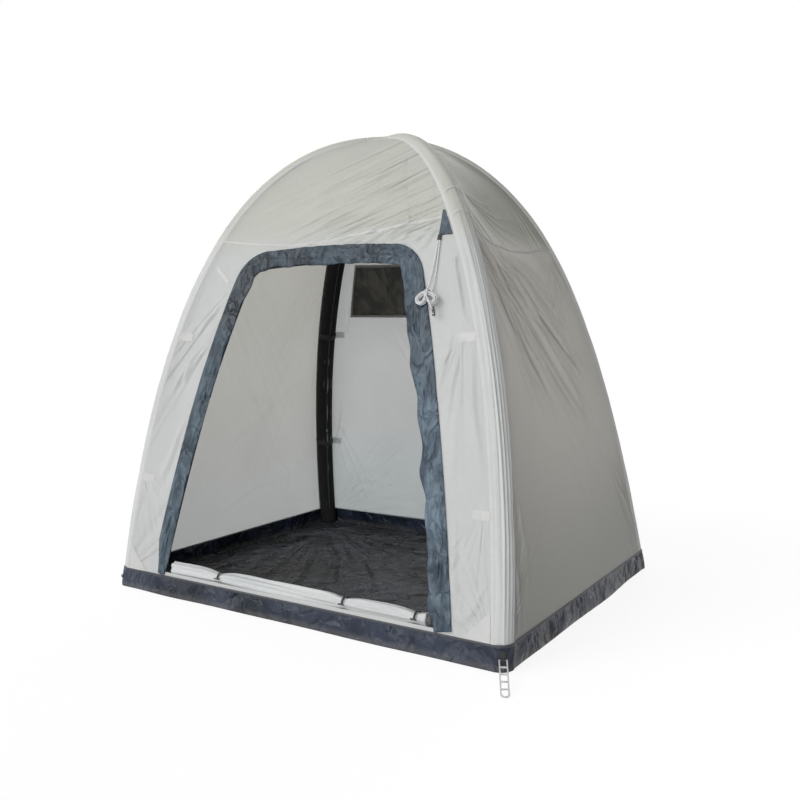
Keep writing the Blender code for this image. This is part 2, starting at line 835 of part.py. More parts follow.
def build_door_edge():
    """Storm flap outside the wall, and the door's zip tape behind the opening's edge."""
    def puffed(across):
        return CLOTH_LIFT + FLAP_PUFF * math.sin(math.pi * across)

    door_sheet("storm_flap", 0.0, FLAP_W, FLAP_FOOT, 3, puffed, FLAP_T, 1, "blue cloth")

    def behind(across):
        return -SKIN_T - CLOTH_LIFT

    door_sheet("door_zip", CUT_BACK - ZIP_W / 2, CUT_BACK + ZIP_W / 2, SILL_HEIGHT, 1, behind,
               ZIP_T, -1, "black cloth")


def door_jamb(side, height):
    """Middle of the zip tape on one jamb, at a height."""
    line = door_line(CUT_BACK, height)
    return line[0] if side < 0 else line[-1]


def build_door_sliders():
    """Two sliders parked at the feet of the door zip, each with a hinged puller."""
    for name, side in (("left", -1), ("right", 1)):
        sideways, height = door_jamb(side, SLIDER_REST)
        lift = -(SKIN_T + CLOTH_LIFT + ZIP_T + TOUCH + SLIDER_T / 2)
        matrix = wall_matrix("front", sideways, height, lift)
        slider = block("door_slider_" + name, (SLIDER_W, SLIDER_L, SLIDER_T), matrix,
                       "zip metal", 0.0012)
        ear_r = 0.0026
        lug = rod("lug " + name, ear_r, SLIDER_W * 0.8,
                  matrix @ Matrix.Translation((0, 0, -SLIDER_T / 2 - PIN_R))
                  @ Matrix.Rotation(math.pi / 2, 4, "Y"), "zip metal", 12)
        join = slider.modifiers.new("lug", "BOOLEAN")
        join.operation = "UNION"
        join.solver = "EXACT"
        join.object = as_cutter(lug)
        pivot = puller_pivot(side)
        drop = Vector((0, 0, -1))
        along = matrix.to_3x3() @ Vector((1, 0, 0))
        along.z = 0
        hang = basis(pivot, along, along.cross(drop))
        bm = bmesh.new()
        bmesh.ops.create_cube(bm, size=1.0)
        bmesh.ops.scale(bm, vec=(PULLER_W, PULLER_L, PULLER_T), verts=bm.verts)
        bmesh.ops.translate(bm, vec=(0, PULLER_L / 2 + ear_r + RUN, 0), verts=bm.verts)
        puller = add_object("door_puller_" + name, mesh_from(bm, "door_puller_" + name), "black plastic")
        puller.matrix_world = hang


def puller_pivot(side):
    """Axis point of a puller, on the lug of its slider."""
    sideways, height = door_jamb(side, SLIDER_REST)
    lift = -(SKIN_T + CLOTH_LIFT + ZIP_T + TOUCH + SLIDER_T + PIN_R)
    return wall_place("front", sideways, height, lift)


# Folded door panel

def whole_millimetres(length):
    """Length rounded to the millimetre that cloth is marked and cut to."""
    return round(length / MILLIMETRE) / round(1 / MILLIMETRE)


@functools.cache
def bundle_half_length():
    """Half length of the folded panel, which ends short of the zip tapes on both jambs."""
    tape_edge = door_jamb(1, BUNDLE_Z)[0] - ZIP_W / 2
    return whole_millimetres(tape_edge - BUNDLE_END_GAP)


@functools.cache
def toggle_places():
    """Where the loops and toggles sit along the folded panel."""
    return [whole_millimetres(share * bundle_half_length()) for share in TOGGLE_SHARES]


def bundle_half_height(sideways):
    """Half height of the folded panel, pinched in where a loop goes round it."""
    pinch = 0.0
    for place in toggle_places():
        gap = max(0.0, abs(sideways - place) - PINCH_FLAT) / PINCH_REACH
        pinch = max(pinch, (1 - min(gap, 1.0)) ** 2)
    return BUNDLE_HALF_HEIGHT - BUNDLE_PINCH * pinch


def bundle_middle(sideways):
    """Centre of the folded panel's section."""
    lift = BUNDLE_SNUG - (SKIN_T + TOUCH + BUNDLE_HALF_THICK * math.cos(BUNDLE_REST))
    return wall_place("front", sideways, BUNDLE_Z, lift)


def bundle_point(sideways, angle, grow=0.0):
    """Point on the folded panel's section; angle 0 faces out of the doorway, 90 degrees is its top."""
    fold = BUNDLE_FOLD * math.cos(BUNDLE_FOLDS * (angle + BUNDLE_REST)) * (0.0 if grow else 1.0)
    deep = BUNDLE_HALF_THICK + grow + (BUNDLE_FOLD if grow else 0.0) + fold - BUNDLE_FOLD
    tall = bundle_half_height(sideways) + grow + (BUNDLE_FOLD if grow else 0.0) + fold - BUNDLE_FOLD
    centre = bundle_middle(sideways)
    return centre + Vector((0, -deep * math.cos(angle), tall * math.sin(angle)))


def build_bundle():
    """Door panel folded along the sill: one closed form with its lengthwise folds."""
    around = 20
    bm = bmesh.new()
    rings = []
    half = bundle_half_length()
    stations = [half * (2 * i / BUNDLE_STATIONS - 1) for i in range(BUNDLE_STATIONS + 1)]
    for place in toggle_places():
        stations = [x for x in stations if abs(x - place) > 3 * PINCH_FLAT]
        stations += [place - 2.5 * PINCH_FLAT, place - PINCH_FLAT, place + PINCH_FLAT, place + 2.5 * PINCH_FLAT]
    for sideways in sorted(stations):
        ring = [bm.verts.new(bundle_point(sideways, 2 * math.pi * step / around)) for step in range(around)]
        rings.append(ring)
    for first, second in zip(rings, rings[1:]):
        for step in range(around):
            after = (step + 1) % around
            bm.faces.new((first[step], first[after], second[after], second[step]))
    bm.faces.new(rings[0])
    bm.faces.new(rings[-1])
    bmesh.ops.recalc_face_normals(bm, faces=bm.faces)
    add_object("door_panel", mesh_from(bm, "door_panel"), "grey cloth")


def toggle_matrix(place):
    """Frame of a toggle: X along it, Z out of the doorway."""
    point = bundle_point(place, TOGGLE_TURN, LOOP_T + 2 * TOUCH)
    origin = point + Vector((0, -TOGGLE_R - TOUCH, 0))
    along = bundle_middle(place + SLOPE_STEP) - bundle_middle(place - SLOPE_STEP)
    return basis(origin, along, Vector((0, -1, 0)))


def build_toggles():
    """Loops round the folded panel and the toggles that lock them."""
    for index, place in enumerate(toggle_places()):
        def spot(across, along, place=place):
            sideways = place + LOOP_W * (across - 0.5)
            angle = LOOP_TO + (LOOP_FROM - LOOP_TO) * along
            centre = bundle_middle(sideways) - bundle_middle(place)
            return bundle_point(place, angle, TOUCH * 2) + centre

        sheet("door_loop_%d" % (index + 1), 1, 16, spot, LOOP_T, -1, "black cloth")
        matrix = toggle_matrix(place) @ Matrix.Rotation(math.pi / 2, 4, "Y")
        rod("door_toggle_%d" % (index + 1), TOGGLE_R, TOGGLE_L, matrix, "black plastic", 10)


# Window

def window_place(sideways_share, up_share, grow, lift):
    """Point of the window area from its shares across and up."""
    height = WINDOW_LOW - grow + (WINDOW_HIGH - WINDOW_LOW + 2 * grow) * up_share
    half = WINDOW_SHARE * half_width("back", height) + grow
    return wall_place("back", half * (2 * sideways_share - 1), height, lift)


def build_window():
    """Net behind the window's opening, and the binding round it outside."""
    def net(across, up):
        return window_place(across, up, NET_LAP, -SKIN_T - PATCH_LIFT)

    sheet("window_net", PANEL_COLUMNS, 4, net, NET_T, -1, "net")
    corners = []
    steps = 8
    for index in range(steps):
        corners.append((index / steps, 0.0))
    for index in range(4):
        corners.append((1.0, index / 4))
    for index in range(steps):
        corners.append((1 - index / steps, 1.0))
    for index in range(4):
        corners.append((0.0, 1 - index / 4))
    bm = bmesh.new()
    outer = [bm.verts.new(window_place(x, z, BINDING_W, PATCH_LIFT)) for x, z in corners]
    inner = [bm.verts.new(window_place(x, z, 0.0, PATCH_LIFT)) for x, z in corners]
    count = len(corners)
    for index in range(count):
        after = (index + 1) % count
        bm.faces.new((outer[index], outer[after], inner[after], inner[index]))
    bmesh.ops.recalc_face_normals(bm, faces=bm.faces)
    if sum(face.normal.y for face in bm.faces) < 0:
        bmesh.ops.reverse_faces(bm, faces=bm.faces)
    binding = add_object("window_binding", mesh_from(bm, "window_binding"), "black cloth")
    thicken(binding, NET_T, 1)


# Guy point, rope and hank

def guy_middle(height):
    """Sideways place of the guy patch's right edge at a height."""
    return GUY_SHARE * half_width("front", height)


def build_guy_point():
    """Triangular patch beside the seam, and the webbing that holds the rope."""
    def place(across, up):
        height = GUY_BASE + GUY_TALL * up
        width = GUY_W + (GUY_TIP_W - GUY_W) * up
        return wall_place("front", guy_middle(height) - width * (1 - across), height, PATCH_LIFT)

    sheet("guy_patch", 2, 4, place, GUY_T, 1, "blue cloth")
    block("guy_webbing", (WEB_W, WEB_L, WEB_T), web_matrix(), "black cloth", 0.001)


def web_matrix():
    """Frame of the guy webbing, hanging just below the patch."""
    sideways = guy_middle(GUY_BASE) - GUY_W + WEB_W / 2
    return wall_matrix("front", sideways, GUY_BASE - WEB_L / 2 * 0.8 - 0.002, CLOTH_LIFT + WEB_T / 2 + TOUCH)


def front_middle(height):
    """Distance along X of the front wall's middle at a height: the frame's twist carries it."""
    return wall_place("front", 0.0, height).x


def front_place(x, height, lift):
    """Point beside the front wall at a distance along X."""
    return wall_place("front", x - front_middle(height), height, lift)


def hank_matrix():
    """Frame of the hank: X along the wall, Y up it, Z out of it."""
    thick = HANK_LAYER_STEP * (HANK_LAYERS - 1) + ROPE_D
    lift = CLOTH_LIFT + FLAP_PUFF + FLAP_T + 0.003 + thick / 2
    return wall_matrix("front", HANK_X - front_middle(HANK_Z), HANK_Z, lift)


def bend_hank(x, y):
    """Bend the flat hank so that both lobes droop from its waist."""
    if abs(x) <= HANK_BEND:
        angle = HANK_DROOP * x / HANK_BEND
        straight = 0.0
    else:
        angle = math.copysign(HANK_DROOP, x)
        straight = abs(x) - HANK_BEND
    radius = HANK_BEND / HANK_DROOP
    side = radius * math.sin(angle) + math.copysign(straight, x) * math.cos(angle)
    down = radius * (1 - math.cos(angle)) + straight * math.sin(abs(angle))
    return side + y * math.sin(angle), -down + y * math.cos(angle)


def hank_flat():
    """Points along the hank before it droops: turns spiral in and out, layer by layer."""
    def inmost(angle):
        wide = HANK_WAIST + (HANK_LOBE - HANK_WAIST) * math.cos(angle) ** 2
        return Vector(((HANK_HALF - HANK_TURNS * HANK_STEP) * math.cos(angle), wide * math.sin(angle)))

    points = []
    for index in range(HANK_TURNS * HANK_LAYERS * HANK_POINTS + 1):
        turn = index / HANK_POINTS
        layer = min(int(turn / HANK_TURNS), HANK_LAYERS - 1)
        within = turn - layer * HANK_TURNS
        spiral = within if layer % 2 else HANK_TURNS - within
        climb = 0.0
        for change in range(1, HANK_LAYERS):
            climb += min(max(2 * (turn - change * HANK_TURNS) + 0.5, 0.0), 1.0)
        angle = math.pi / 2 - 2 * math.pi * turn
        along = inmost(angle + 0.01) - inmost(angle - 0.01)
        outward = Vector((along.y, -along.x)).normalized()
        flat = inmost(angle) + outward * spiral * HANK_STEP
        points.append((flat.x, flat.y, HANK_LAYER_STEP * (climb - (HANK_LAYERS - 1) / 2)))
    return points


def hank_points():
    """Points along the hank in its place on the wall."""
    frame = hank_matrix()
    placed = []
    for x, y, z in hank_flat():
        side, up = bend_hank(x, y)
        placed.append(frame @ Vector((side, up, z)))
    return placed


def least_gap(points, diameter):
    """Least gap between stretches of a wound cord that aren't next to each other."""
    skip = 4
    best = 1.0
    segments = list(zip(points, points[1:]))
    for index, (a, b) in enumerate(segments):
        for c, d in segments[index + skip:]:
            if ((a + b) / 2 - (c + d) / 2).length > 4 * diameter:
                continue
            for i in range(5):
                for j in range(5):
                    gap = (a.lerp(b, i / 4) - c.lerp(d, j / 4)).length
                    best = min(best, gap)
    return best - diameter


def smooth_route(knots, spacing):
    """Points on a smooth curve through a list of knots, closer together where it bends."""
    ends = [2 * knots[0] - knots[1]] + knots + [2 * knots[-1] - knots[-2]]
    fine = []
    for p0, p1, p2, p3 in zip(ends, ends[1:], ends[2:], ends[3:]):
        for step in range(12):
            f = step / 12
            fine.append(0.5 * (2 * p1 + (p2 - p0) * f + (2 * p0 - 5 * p1 + 4 * p2 - p3) * f ** 2
                               + (3 * p1 - p0 - 3 * p2 + p3) * f ** 3))
    fine.append(knots[-1])
    points = [fine[0]]
    run = 0.0
    heading = fine[1] - fine[0]
    for before, here, after in zip(fine, fine[1:], fine[2:]):
        run += (here - before).length
        turned = heading.angle(after - here)
        if run > spacing or (turned > ROPE_TURN and run > ROPE_D):
            points.append(here)
            heading = after - here
            run = 0.0
    if run < ROPE_D and len(points) > 2:
        points.pop()
    points.append(fine[-1])
    return points


def hank_spot(side, up, out):
    """Point beside the hank, from its middle."""
    return hank_matrix() @ Vector((side, up, out))


def strand_start(sign):
    """Place where a strand leaves the webbing's lower edge."""
    return web_matrix() @ Vector((sign * STRAND_SPACING / 2, -WEB_L / 2 - TOUCH, 0.0005))


def rope_points():
    """Route of the first strand: from the webbing down to the hank's first loop."""
    top = strand_start(1)
    down = (web_matrix().to_3x3() @ Vector((0, -1, 0))).normalized()
    first = hank_points()[0].lerp(hank_points()[1], 0.9)
    rise = hank_matrix().to_3x3() @ Vector((0.20, 1.0, 0.0)).normalized()
    end = first + rise * (ROPE_D / 2 + 2 * TOUCH)
    knots = [
        top,
        top + down * ROPE_D,
        front_place(0.5560, 1.470, STRAND_LIFT),
        front_place(0.5575, 1.410, STRAND_LIFT),
        front_place(0.5570, 1.360, STRAND_LIFT + 0.003),
        end + rise * ROPE_D,
        end,
    ]
    return smooth_route(knots, ROPE_D * 2.6)


def tie_spot(turn, side):
    """Point of the tie round the hank's waist; turn 0 is over its top and 0.25 in front of it."""
    up_middle = (TIE_TOP - TIE_BOTTOM) / 2
    tall = (TIE_TOP + TIE_BOTTOM) / 2 - TIE_CORNER_R
    deep = TIE_DEPTH - TIE_CORNER_R
    angle = 2 * math.pi * turn
    up, out = math.cos(angle), math.sin(angle)
    square = max(abs(up), abs(out))
    up_flat = min(max(up / square * 1.4, -1), 1) * tall
    out_flat = min(max(out / square * 1.4, -1), 1) * deep
    return hank_spot(side, up_middle + up_flat + TIE_CORNER_R * up, out_flat + TIE_CORNER_R * out)


def tail_points():
    """Route of the second strand: down to the hank, round its waist, and through the tensioner."""
    top = strand_start(-1)
    down = (web_matrix().to_3x3() @ Vector((0, -1, 0))).normalized()
    knots = [
        top,
        top + down * ROPE_D,
        front_place(0.5450, 1.470, STRAND_LIFT),
        front_place(0.5430, 1.410, STRAND_LIFT + 0.002),
        front_place(0.5415, 1.360, STRAND_LIFT + 0.008),
        hank_spot(-0.0040, 0.0330, -0.0020),
    ]
    for turn in TIE_TURNS:
        before = min(max((0.42 - turn) / 0.3, 0.0), 1.0)
        after = min(max((turn - 0.75) / 0.2, 0.0), 1.0)
        knots.append(tie_spot(turn, TIE_SPACING / 2 * (after - before)))
    knots += [
        hank_spot(0.0080, -0.0110, 0.0165),
        hank_spot(0.0180, -0.0260, 0.0170),
        hank_spot(0.0265, -0.0400, 0.0175),
    ]
    route = smooth_route(knots, ROPE_D * 2.6)
    bend = TENSIONER_BEND_R
    deep = TENSIONER_T / 2 + TOUCH
    threaded = [(TENSIONER_HOLE_Z, 0.0060), (TENSIONER_HOLE_Z, 0.0), (TENSIONER_HOLE_Z, -deep)]
    steps = 3
    for step in range(1, steps + 1):
        angle = math.pi / 2 * step / steps
        threaded.append((TENSIONER_HOLE_Z - bend * (1 - math.cos(angle)), -deep - bend * math.sin(angle)))
    threaded += [(-up, out) for up, out in reversed(threaded)]
    enter = tensioner_spot(0.0, TENSIONER_HOLE_Z, 0.0130)
    return route + [enter] + [tensioner_spot(0.0, up, out) for up, out in threaded]


def build_rope():
    """Two strands that hang from the webbing, and the hank that holds the rest of the rope."""
    hank = hank_points()
    tube_curve("guy_hank", hank, ROPE_D / 2, "white rope", 1)
    tube_curve("guy_rope", rope_points(), ROPE_D / 2, "white rope", 2)
    tube_curve("guy_tail", tail_points(), ROPE_D / 2, "white rope", 2)
    print("hank: least gap to itself %.2f mm" % (1000 * least_gap(hank, ROPE_D)))


# Tensioner on the second strand

def tensioner_matrix():
    """Frame of the tensioner: Y along it, Z out of the wall."""
    return hank_matrix() @ Matrix.Translation((0.0370, -0.0640, 0.0040)) @ Matrix.Rotation(0.25, 4, "Z")


def tensioner_spot(side, up, out):
    """Point beside the tensioner, from its middle."""
    return tensioner_matrix() @ Vector((side, up, out))


def build_tensioner():
    """Plate with two holes that the rope threads."""
    size = (TENSIONER_W, TENSIONER_L, TENSIONER_T)
    plate = block("rope_tensioner", size, tensioner_matrix(), "black plastic", 0.0012)
    for name, sign in (("upper", 1), ("lower", -1)):
        place = tensioner_matrix() @ Matrix.Translation((0, sign * TENSIONER_HOLE_Z, 0))
        hole = rod(name + " tensioner hole", TENSIONER_HOLE_R, 0.02, place, "black plastic", 20)
        cut(plate, as_cutter(hole))


# Corner tabs and the peg ladder

def tab_matrix(leg):
    """Frame of a corner tab: X out from the corner, Y along its eye, Z up the leg."""
    side_x, side_y = LEGS[leg]
    face = math.radians(15) if side_x * side_y > 0 else math.radians(-15)
    skin = TUB_R * math.cos(math.pi / TUBE_SIDES)
    centre = leg_spot(leg, TAB_HEIGHT, face, 0.0)
    normal = (leg_spot(leg, TAB_HEIGHT, face, skin) - centre).normalized()
    up = leg_spot(leg, TAB_HEIGHT + 0.01, face, skin) - leg_spot(leg, TAB_HEIGHT - 0.01, face, skin)
    up.normalize()
    flat = Vector((normal.x, normal.y, 0)).normalized()
    slack = 0.0
    if leg == LADDER_LEG:
        level = Vector((math.cos(LADDER_YAW), math.sin(LADDER_YAW), 0))
        slack = TAB_W / 2 * math.sin(level.angle(flat))
        flat = level
    across = Vector((0, 0, 1)).cross(flat)
    up = (up - across * up.dot(across)).normalized()
    origin = centre + normal * (skin + TOUCH + TAB_T / 2 + slack)
    return basis(origin, across.cross(up), up)


def build_tabs():
    """Webbing tabs at the four corners, each folded round an eye."""
    for leg in LEGS:
        matrix = tab_matrix(leg)
        name = "corner_tab_" + leg
        tab = block(name, (TAB_T, TAB_W, TAB_L), matrix, "black cloth")
        eye_place = matrix @ Matrix.Translation((EYE_OUT, 0, -TAB_L / 2)) @ Matrix.Rotation(
            math.pi / 2, 4, "X")
        eye = rod("eye " + leg, EYE_R, TAB_W, eye_place, "black cloth", 20)
        bore = rod("eye bore " + leg, EYE_BORE_R, TAB_W * 1.5, eye_place, "black cloth", 20)
        join = tab.modifiers.new("eye", "BOOLEAN")
        join.operation = "UNION"
        join.solver = "EXACT"
        join.object = as_cutter(eye)
        cut(tab, as_cutter(bore))


def ladder_matrix():
    """Frame of the ladder: origin on its bar, X along it, Z up through its flat side."""
    bar = tab_matrix(LADDER_LEG) @ Vector((EYE_OUT, 0, -TAB_L / 2))
    across = (tab_matrix(LADDER_LEG).to_3x3() @ Vector((0, 1, 0))).normalized()
    reach = LADDER_CELLS * LADDER_CELL + LADDER_BAR / 2
    dip = 0.0
    for _ in range(20):
        dip = math.asin((bar.z - TOUCH * 2 - LADDER_T / 2 * math.cos(dip)) / reach)
    flat = across.cross(Vector((0, 0, 1))).normalized()
    along = flat * math.cos(dip) - Vector((0, 0, math.sin(dip)))
    return basis(bar, along, across.cross(along) * -1)


def build_ladder():
    """Peg ladder: two rails and their rungs in one moulding, hung from the front right tab."""
    curve = bpy.data.curves.new("peg_ladder", "CURVE")
    curve.dimensions = "2D"
    curve.fill_mode = "BOTH"
    curve.extrude = LADDER_T / 2
    half = LADDER_W / 2
    end = LADDER_CELLS * LADDER_CELL
    outline = [(0.0, half), (0.0, half - LADDER_BAR)]
    outline += [(LADDER_CELL - LADDER_BAR / 2, half - LADDER_BAR)]
    outline += [(LADDER_CELL - LADDER_BAR / 2, LADDER_BAR - half)]
    outline += [(0.0, LADDER_BAR - half), (0.0, -half)]
    round_steps = 12
    for step in range(round_steps + 1):
        angle = math.pi * (step / round_steps - 0.5)
        outline.append((end - half + LADDER_BAR / 2 + half * math.cos(angle), half * math.sin(angle)))
    loops = [outline]
    inner = half - LADDER_BAR
    for cell in range(1, LADDER_CELLS):
        start = cell * LADDER_CELL + LADDER_BAR / 2
        stop = start + LADDER_CELL - LADDER_BAR
        if cell < LADDER_CELLS - 1:
            loops.append([(start, inner), (start, -inner), (stop, -inner), (stop, inner)])
        else:
            loop = [(start, inner), (start, -inner)]
            for step in range(round_steps + 1):
                angle = math.pi * (step / round_steps - 0.5)
                loop.append((stop - inner + inner * math.cos(angle), inner * math.sin(angle)))
            loops.append(loop)
    for loop in loops:
        spline = curve.splines.new("POLY")
        spline.points.add(len(loop) - 1)
        spline.use_cyclic_u = True
        for knot, (x, y) in zip(spline.points, loop):
            knot.co = (x, y, 0.0, 1.0)
    drawn = bpy.data.objects.new("peg_ladder", curve)
    PARTS.objects.link(drawn)
    ladder = add_object("peg_ladder", evaluated_mesh(drawn, "peg_ladder"), "clear rubber")
    ladder.matrix_world = ladder_matrix()
    place = ladder_matrix() @ Matrix.Rotation(math.pi / 2, 4, "X")
    bar = rod("ladder bar", LADDER_BAR / 2, LADDER_W, place, "clear rubber", 16)
    join = ladder.modifiers.new("bar", "BOOLEAN")
    join.operation = "UNION"
    join.solver = "EXACT"
    join.object = as_cutter(bar)


# Inflation valve

def valve_matrix(reach):
    """Frame on the front left leg's inner face: X up the leg, Z into the tent."""
    return leg_matrix("front_left", VALVE_HEIGHT, math.pi, reach)


def build_valve():
    """Valve body with its seat, a sprung plunger in its bore, and a hinged cap."""
    matrix = valve_matrix(SLEEVE_R)
    low = -SLEEVE_T + TOUCH
    body = turned("valve_body", [
        (VALVE_SEAT_R, low),
        (VALVE_BODY_R, low),
        (VALVE_BODY_R, TOUCH * 2),
        (VALVE_FLANGE_R, TOUCH * 2),
        (VALVE_FLANGE_R, TOUCH * 2 + VALVE_FLANGE_T),
        (VALVE_BODY_R, VALVE_FLANGE_T + 0.0015),
        (VALVE_BODY_R, VALVE_OUT),
        (VALVE_BORE_R, VALVE_OUT),
        (VALVE_BORE_R, low + VALVE_SEAT_T),
        (VALVE_SEAT_R, low + VALVE_SEAT_T),
    ], matrix, "valve plastic")
    post_place = matrix @ Matrix.Translation((CAP_HINGE_X - 0.0012, 0, 0.0070))
    post = block("post", (0.0070, 0.0080, 0.0120), post_place, "valve plastic")
    join = body.modifiers.new("post", "BOOLEAN")
    join.operation = "UNION"
    join.solver = "EXACT"
    join.object = as_cutter(post)
    head = low + VALVE_SEAT_T + PLUNGER_TRAVEL + RUN
    plunger = turned("valve_plunger", [
        (0.0, low + TOUCH),
        (PLUNGER_STEM_R, low + TOUCH),
        (PLUNGER_STEM_R, head),
        (PLUNGER_R, head),
        (PLUNGER_R, head + 0.0025),
        (0.0, head + 0.0025),
    ], matrix, "zip metal")
    plunger.modifiers["turn"].use_normal_flip = True
    cap = rod("valve_cap", CAP_R, CAP_T, matrix @ Matrix.Translation(
        (0, 0, VALVE_OUT + RUN + CAP_T / 2)), "valve plastic", 28)
    mesh = evaluated_mesh(cap, "valve_cap")
    cap = add_object("valve_cap", mesh, "valve plastic")
    for vert in mesh.vertices:
        vert.co = cap_matrix().inverted() @ vert.co
    cap.matrix_world = cap_matrix()
    bridge = block("cap bridge", (0.0080, 0.0060, 0.0022), cap_matrix() @ Matrix.Translation(
        (-0.0040, 0, 0)), "valve plastic")
    barrel = rod("cap barrel", CAP_BARREL_R, 0.0080,
                 cap_matrix() @ Matrix.Rotation(math.pi / 2, 4, "X"), "valve plastic", 16)
    for extra in (bridge, barrel):
        join = cap.modifiers.new(extra.name, "BOOLEAN")
        join.operation = "UNION"
        join.solver = "EXACT"
        join.object = as_cutter(extra)


def cap_matrix():
    """Frame of the cap's hinge: Y is its axis."""
    height = VALVE_OUT + RUN + CAP_T / 2
    return valve_matrix(SLEEVE_R) @ Matrix.Translation((CAP_HINGE_X, 0, height))


build_air_frame()
build_sleeves()
build_sleeve_sliders()
build_straps()
build_strips()
build_walls()
build_crown()
build_groundsheet()
build_door_edge()
build_door_sliders()
build_bundle()
build_toggles()
build_window()
build_guy_point()
build_rope()
build_tensioner()
build_tabs()
build_ladder()
build_valve()
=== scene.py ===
"""Looks of the inflatable tent: cloth skin over four air-filled legs, with a tub floor and an open door."""

import json
import math

import bmesh
import bpy
import numpy as np
from mathutils import Matrix, Vector, noise

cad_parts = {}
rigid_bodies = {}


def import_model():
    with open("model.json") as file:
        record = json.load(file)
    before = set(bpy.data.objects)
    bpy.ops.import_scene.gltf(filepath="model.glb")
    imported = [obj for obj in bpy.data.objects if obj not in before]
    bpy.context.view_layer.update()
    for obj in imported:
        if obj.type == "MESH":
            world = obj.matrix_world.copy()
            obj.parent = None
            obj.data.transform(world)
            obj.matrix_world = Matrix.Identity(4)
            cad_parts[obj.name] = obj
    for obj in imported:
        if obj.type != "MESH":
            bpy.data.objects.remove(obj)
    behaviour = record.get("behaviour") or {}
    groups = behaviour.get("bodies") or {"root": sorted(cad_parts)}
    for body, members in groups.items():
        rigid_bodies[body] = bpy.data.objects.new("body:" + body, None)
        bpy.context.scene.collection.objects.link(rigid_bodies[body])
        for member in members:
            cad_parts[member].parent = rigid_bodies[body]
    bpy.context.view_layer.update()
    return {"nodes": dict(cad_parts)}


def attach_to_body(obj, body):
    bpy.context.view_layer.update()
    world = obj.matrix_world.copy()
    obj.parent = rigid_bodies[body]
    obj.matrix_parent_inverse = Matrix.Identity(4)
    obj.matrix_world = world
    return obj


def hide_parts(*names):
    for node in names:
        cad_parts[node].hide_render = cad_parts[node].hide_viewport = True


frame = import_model()

# Camera: a little above waist height, in front of the right corner, looking across the doorway.
def facing(middle, x_axis, y_axis, z_axis):
    """Frame from its middle and the directions of its three axes."""
    return Matrix.Translation(middle) @ Matrix((x_axis, y_axis, z_axis)).transposed().to_4x4()


camera = bpy.data.objects.new("camera", bpy.data.cameras.new("camera"))
bpy.context.scene.collection.objects.link(camera)
bpy.context.scene.camera = camera
LENS, SENSOR = 38.69, 36.0
CAMERA_PLACE = Vector((2.2386, -3.3876, 1.1784))
TURN, DIP, TILT = -0.5720, -0.0815, -0.0051
camera.data.lens = LENS
camera.data.sensor_width = SENSOR
ahead = Vector((math.sin(TURN) * math.cos(DIP), math.cos(TURN) * math.cos(DIP), math.sin(DIP)))
level = ahead.cross(Vector((0, 0, 1))).normalized()
above = level.cross(ahead)
side_on = level * math.cos(TILT) + above * math.sin(TILT)
upright = above * math.cos(TILT) - level * math.sin(TILT)
camera.matrix_world = facing(CAMERA_PLACE, side_on, upright, -ahead)


# Guy rope: 5 mm white braided cord. Two strands hang from a webbing loop below the front right
# shoulder. The rest is wound into a hank, and the second strand ties its waist and ends in a
# plastic tensioner.
class Mark:
    """A number or colour that changes over a surface: sums on it add Math nodes."""

    def __init__(self, finish, socket):
        self.finish = finish
        self.socket = socket

    def sum(self, operation, first, second):
        return self.finish.node("ShaderNodeMath", {"operation": operation}, {0: first, 1: second})

    def __add__(self, other):
        return self.sum("ADD", self, other)

    __radd__ = __add__

    def __mul__(self, other):
        return self.sum("MULTIPLY", self, other)

    __rmul__ = __mul__

    def __sub__(self, other):
        return self.sum("SUBTRACT", self, other)

    def __rsub__(self, other):
        return self.sum("SUBTRACT", other, self)


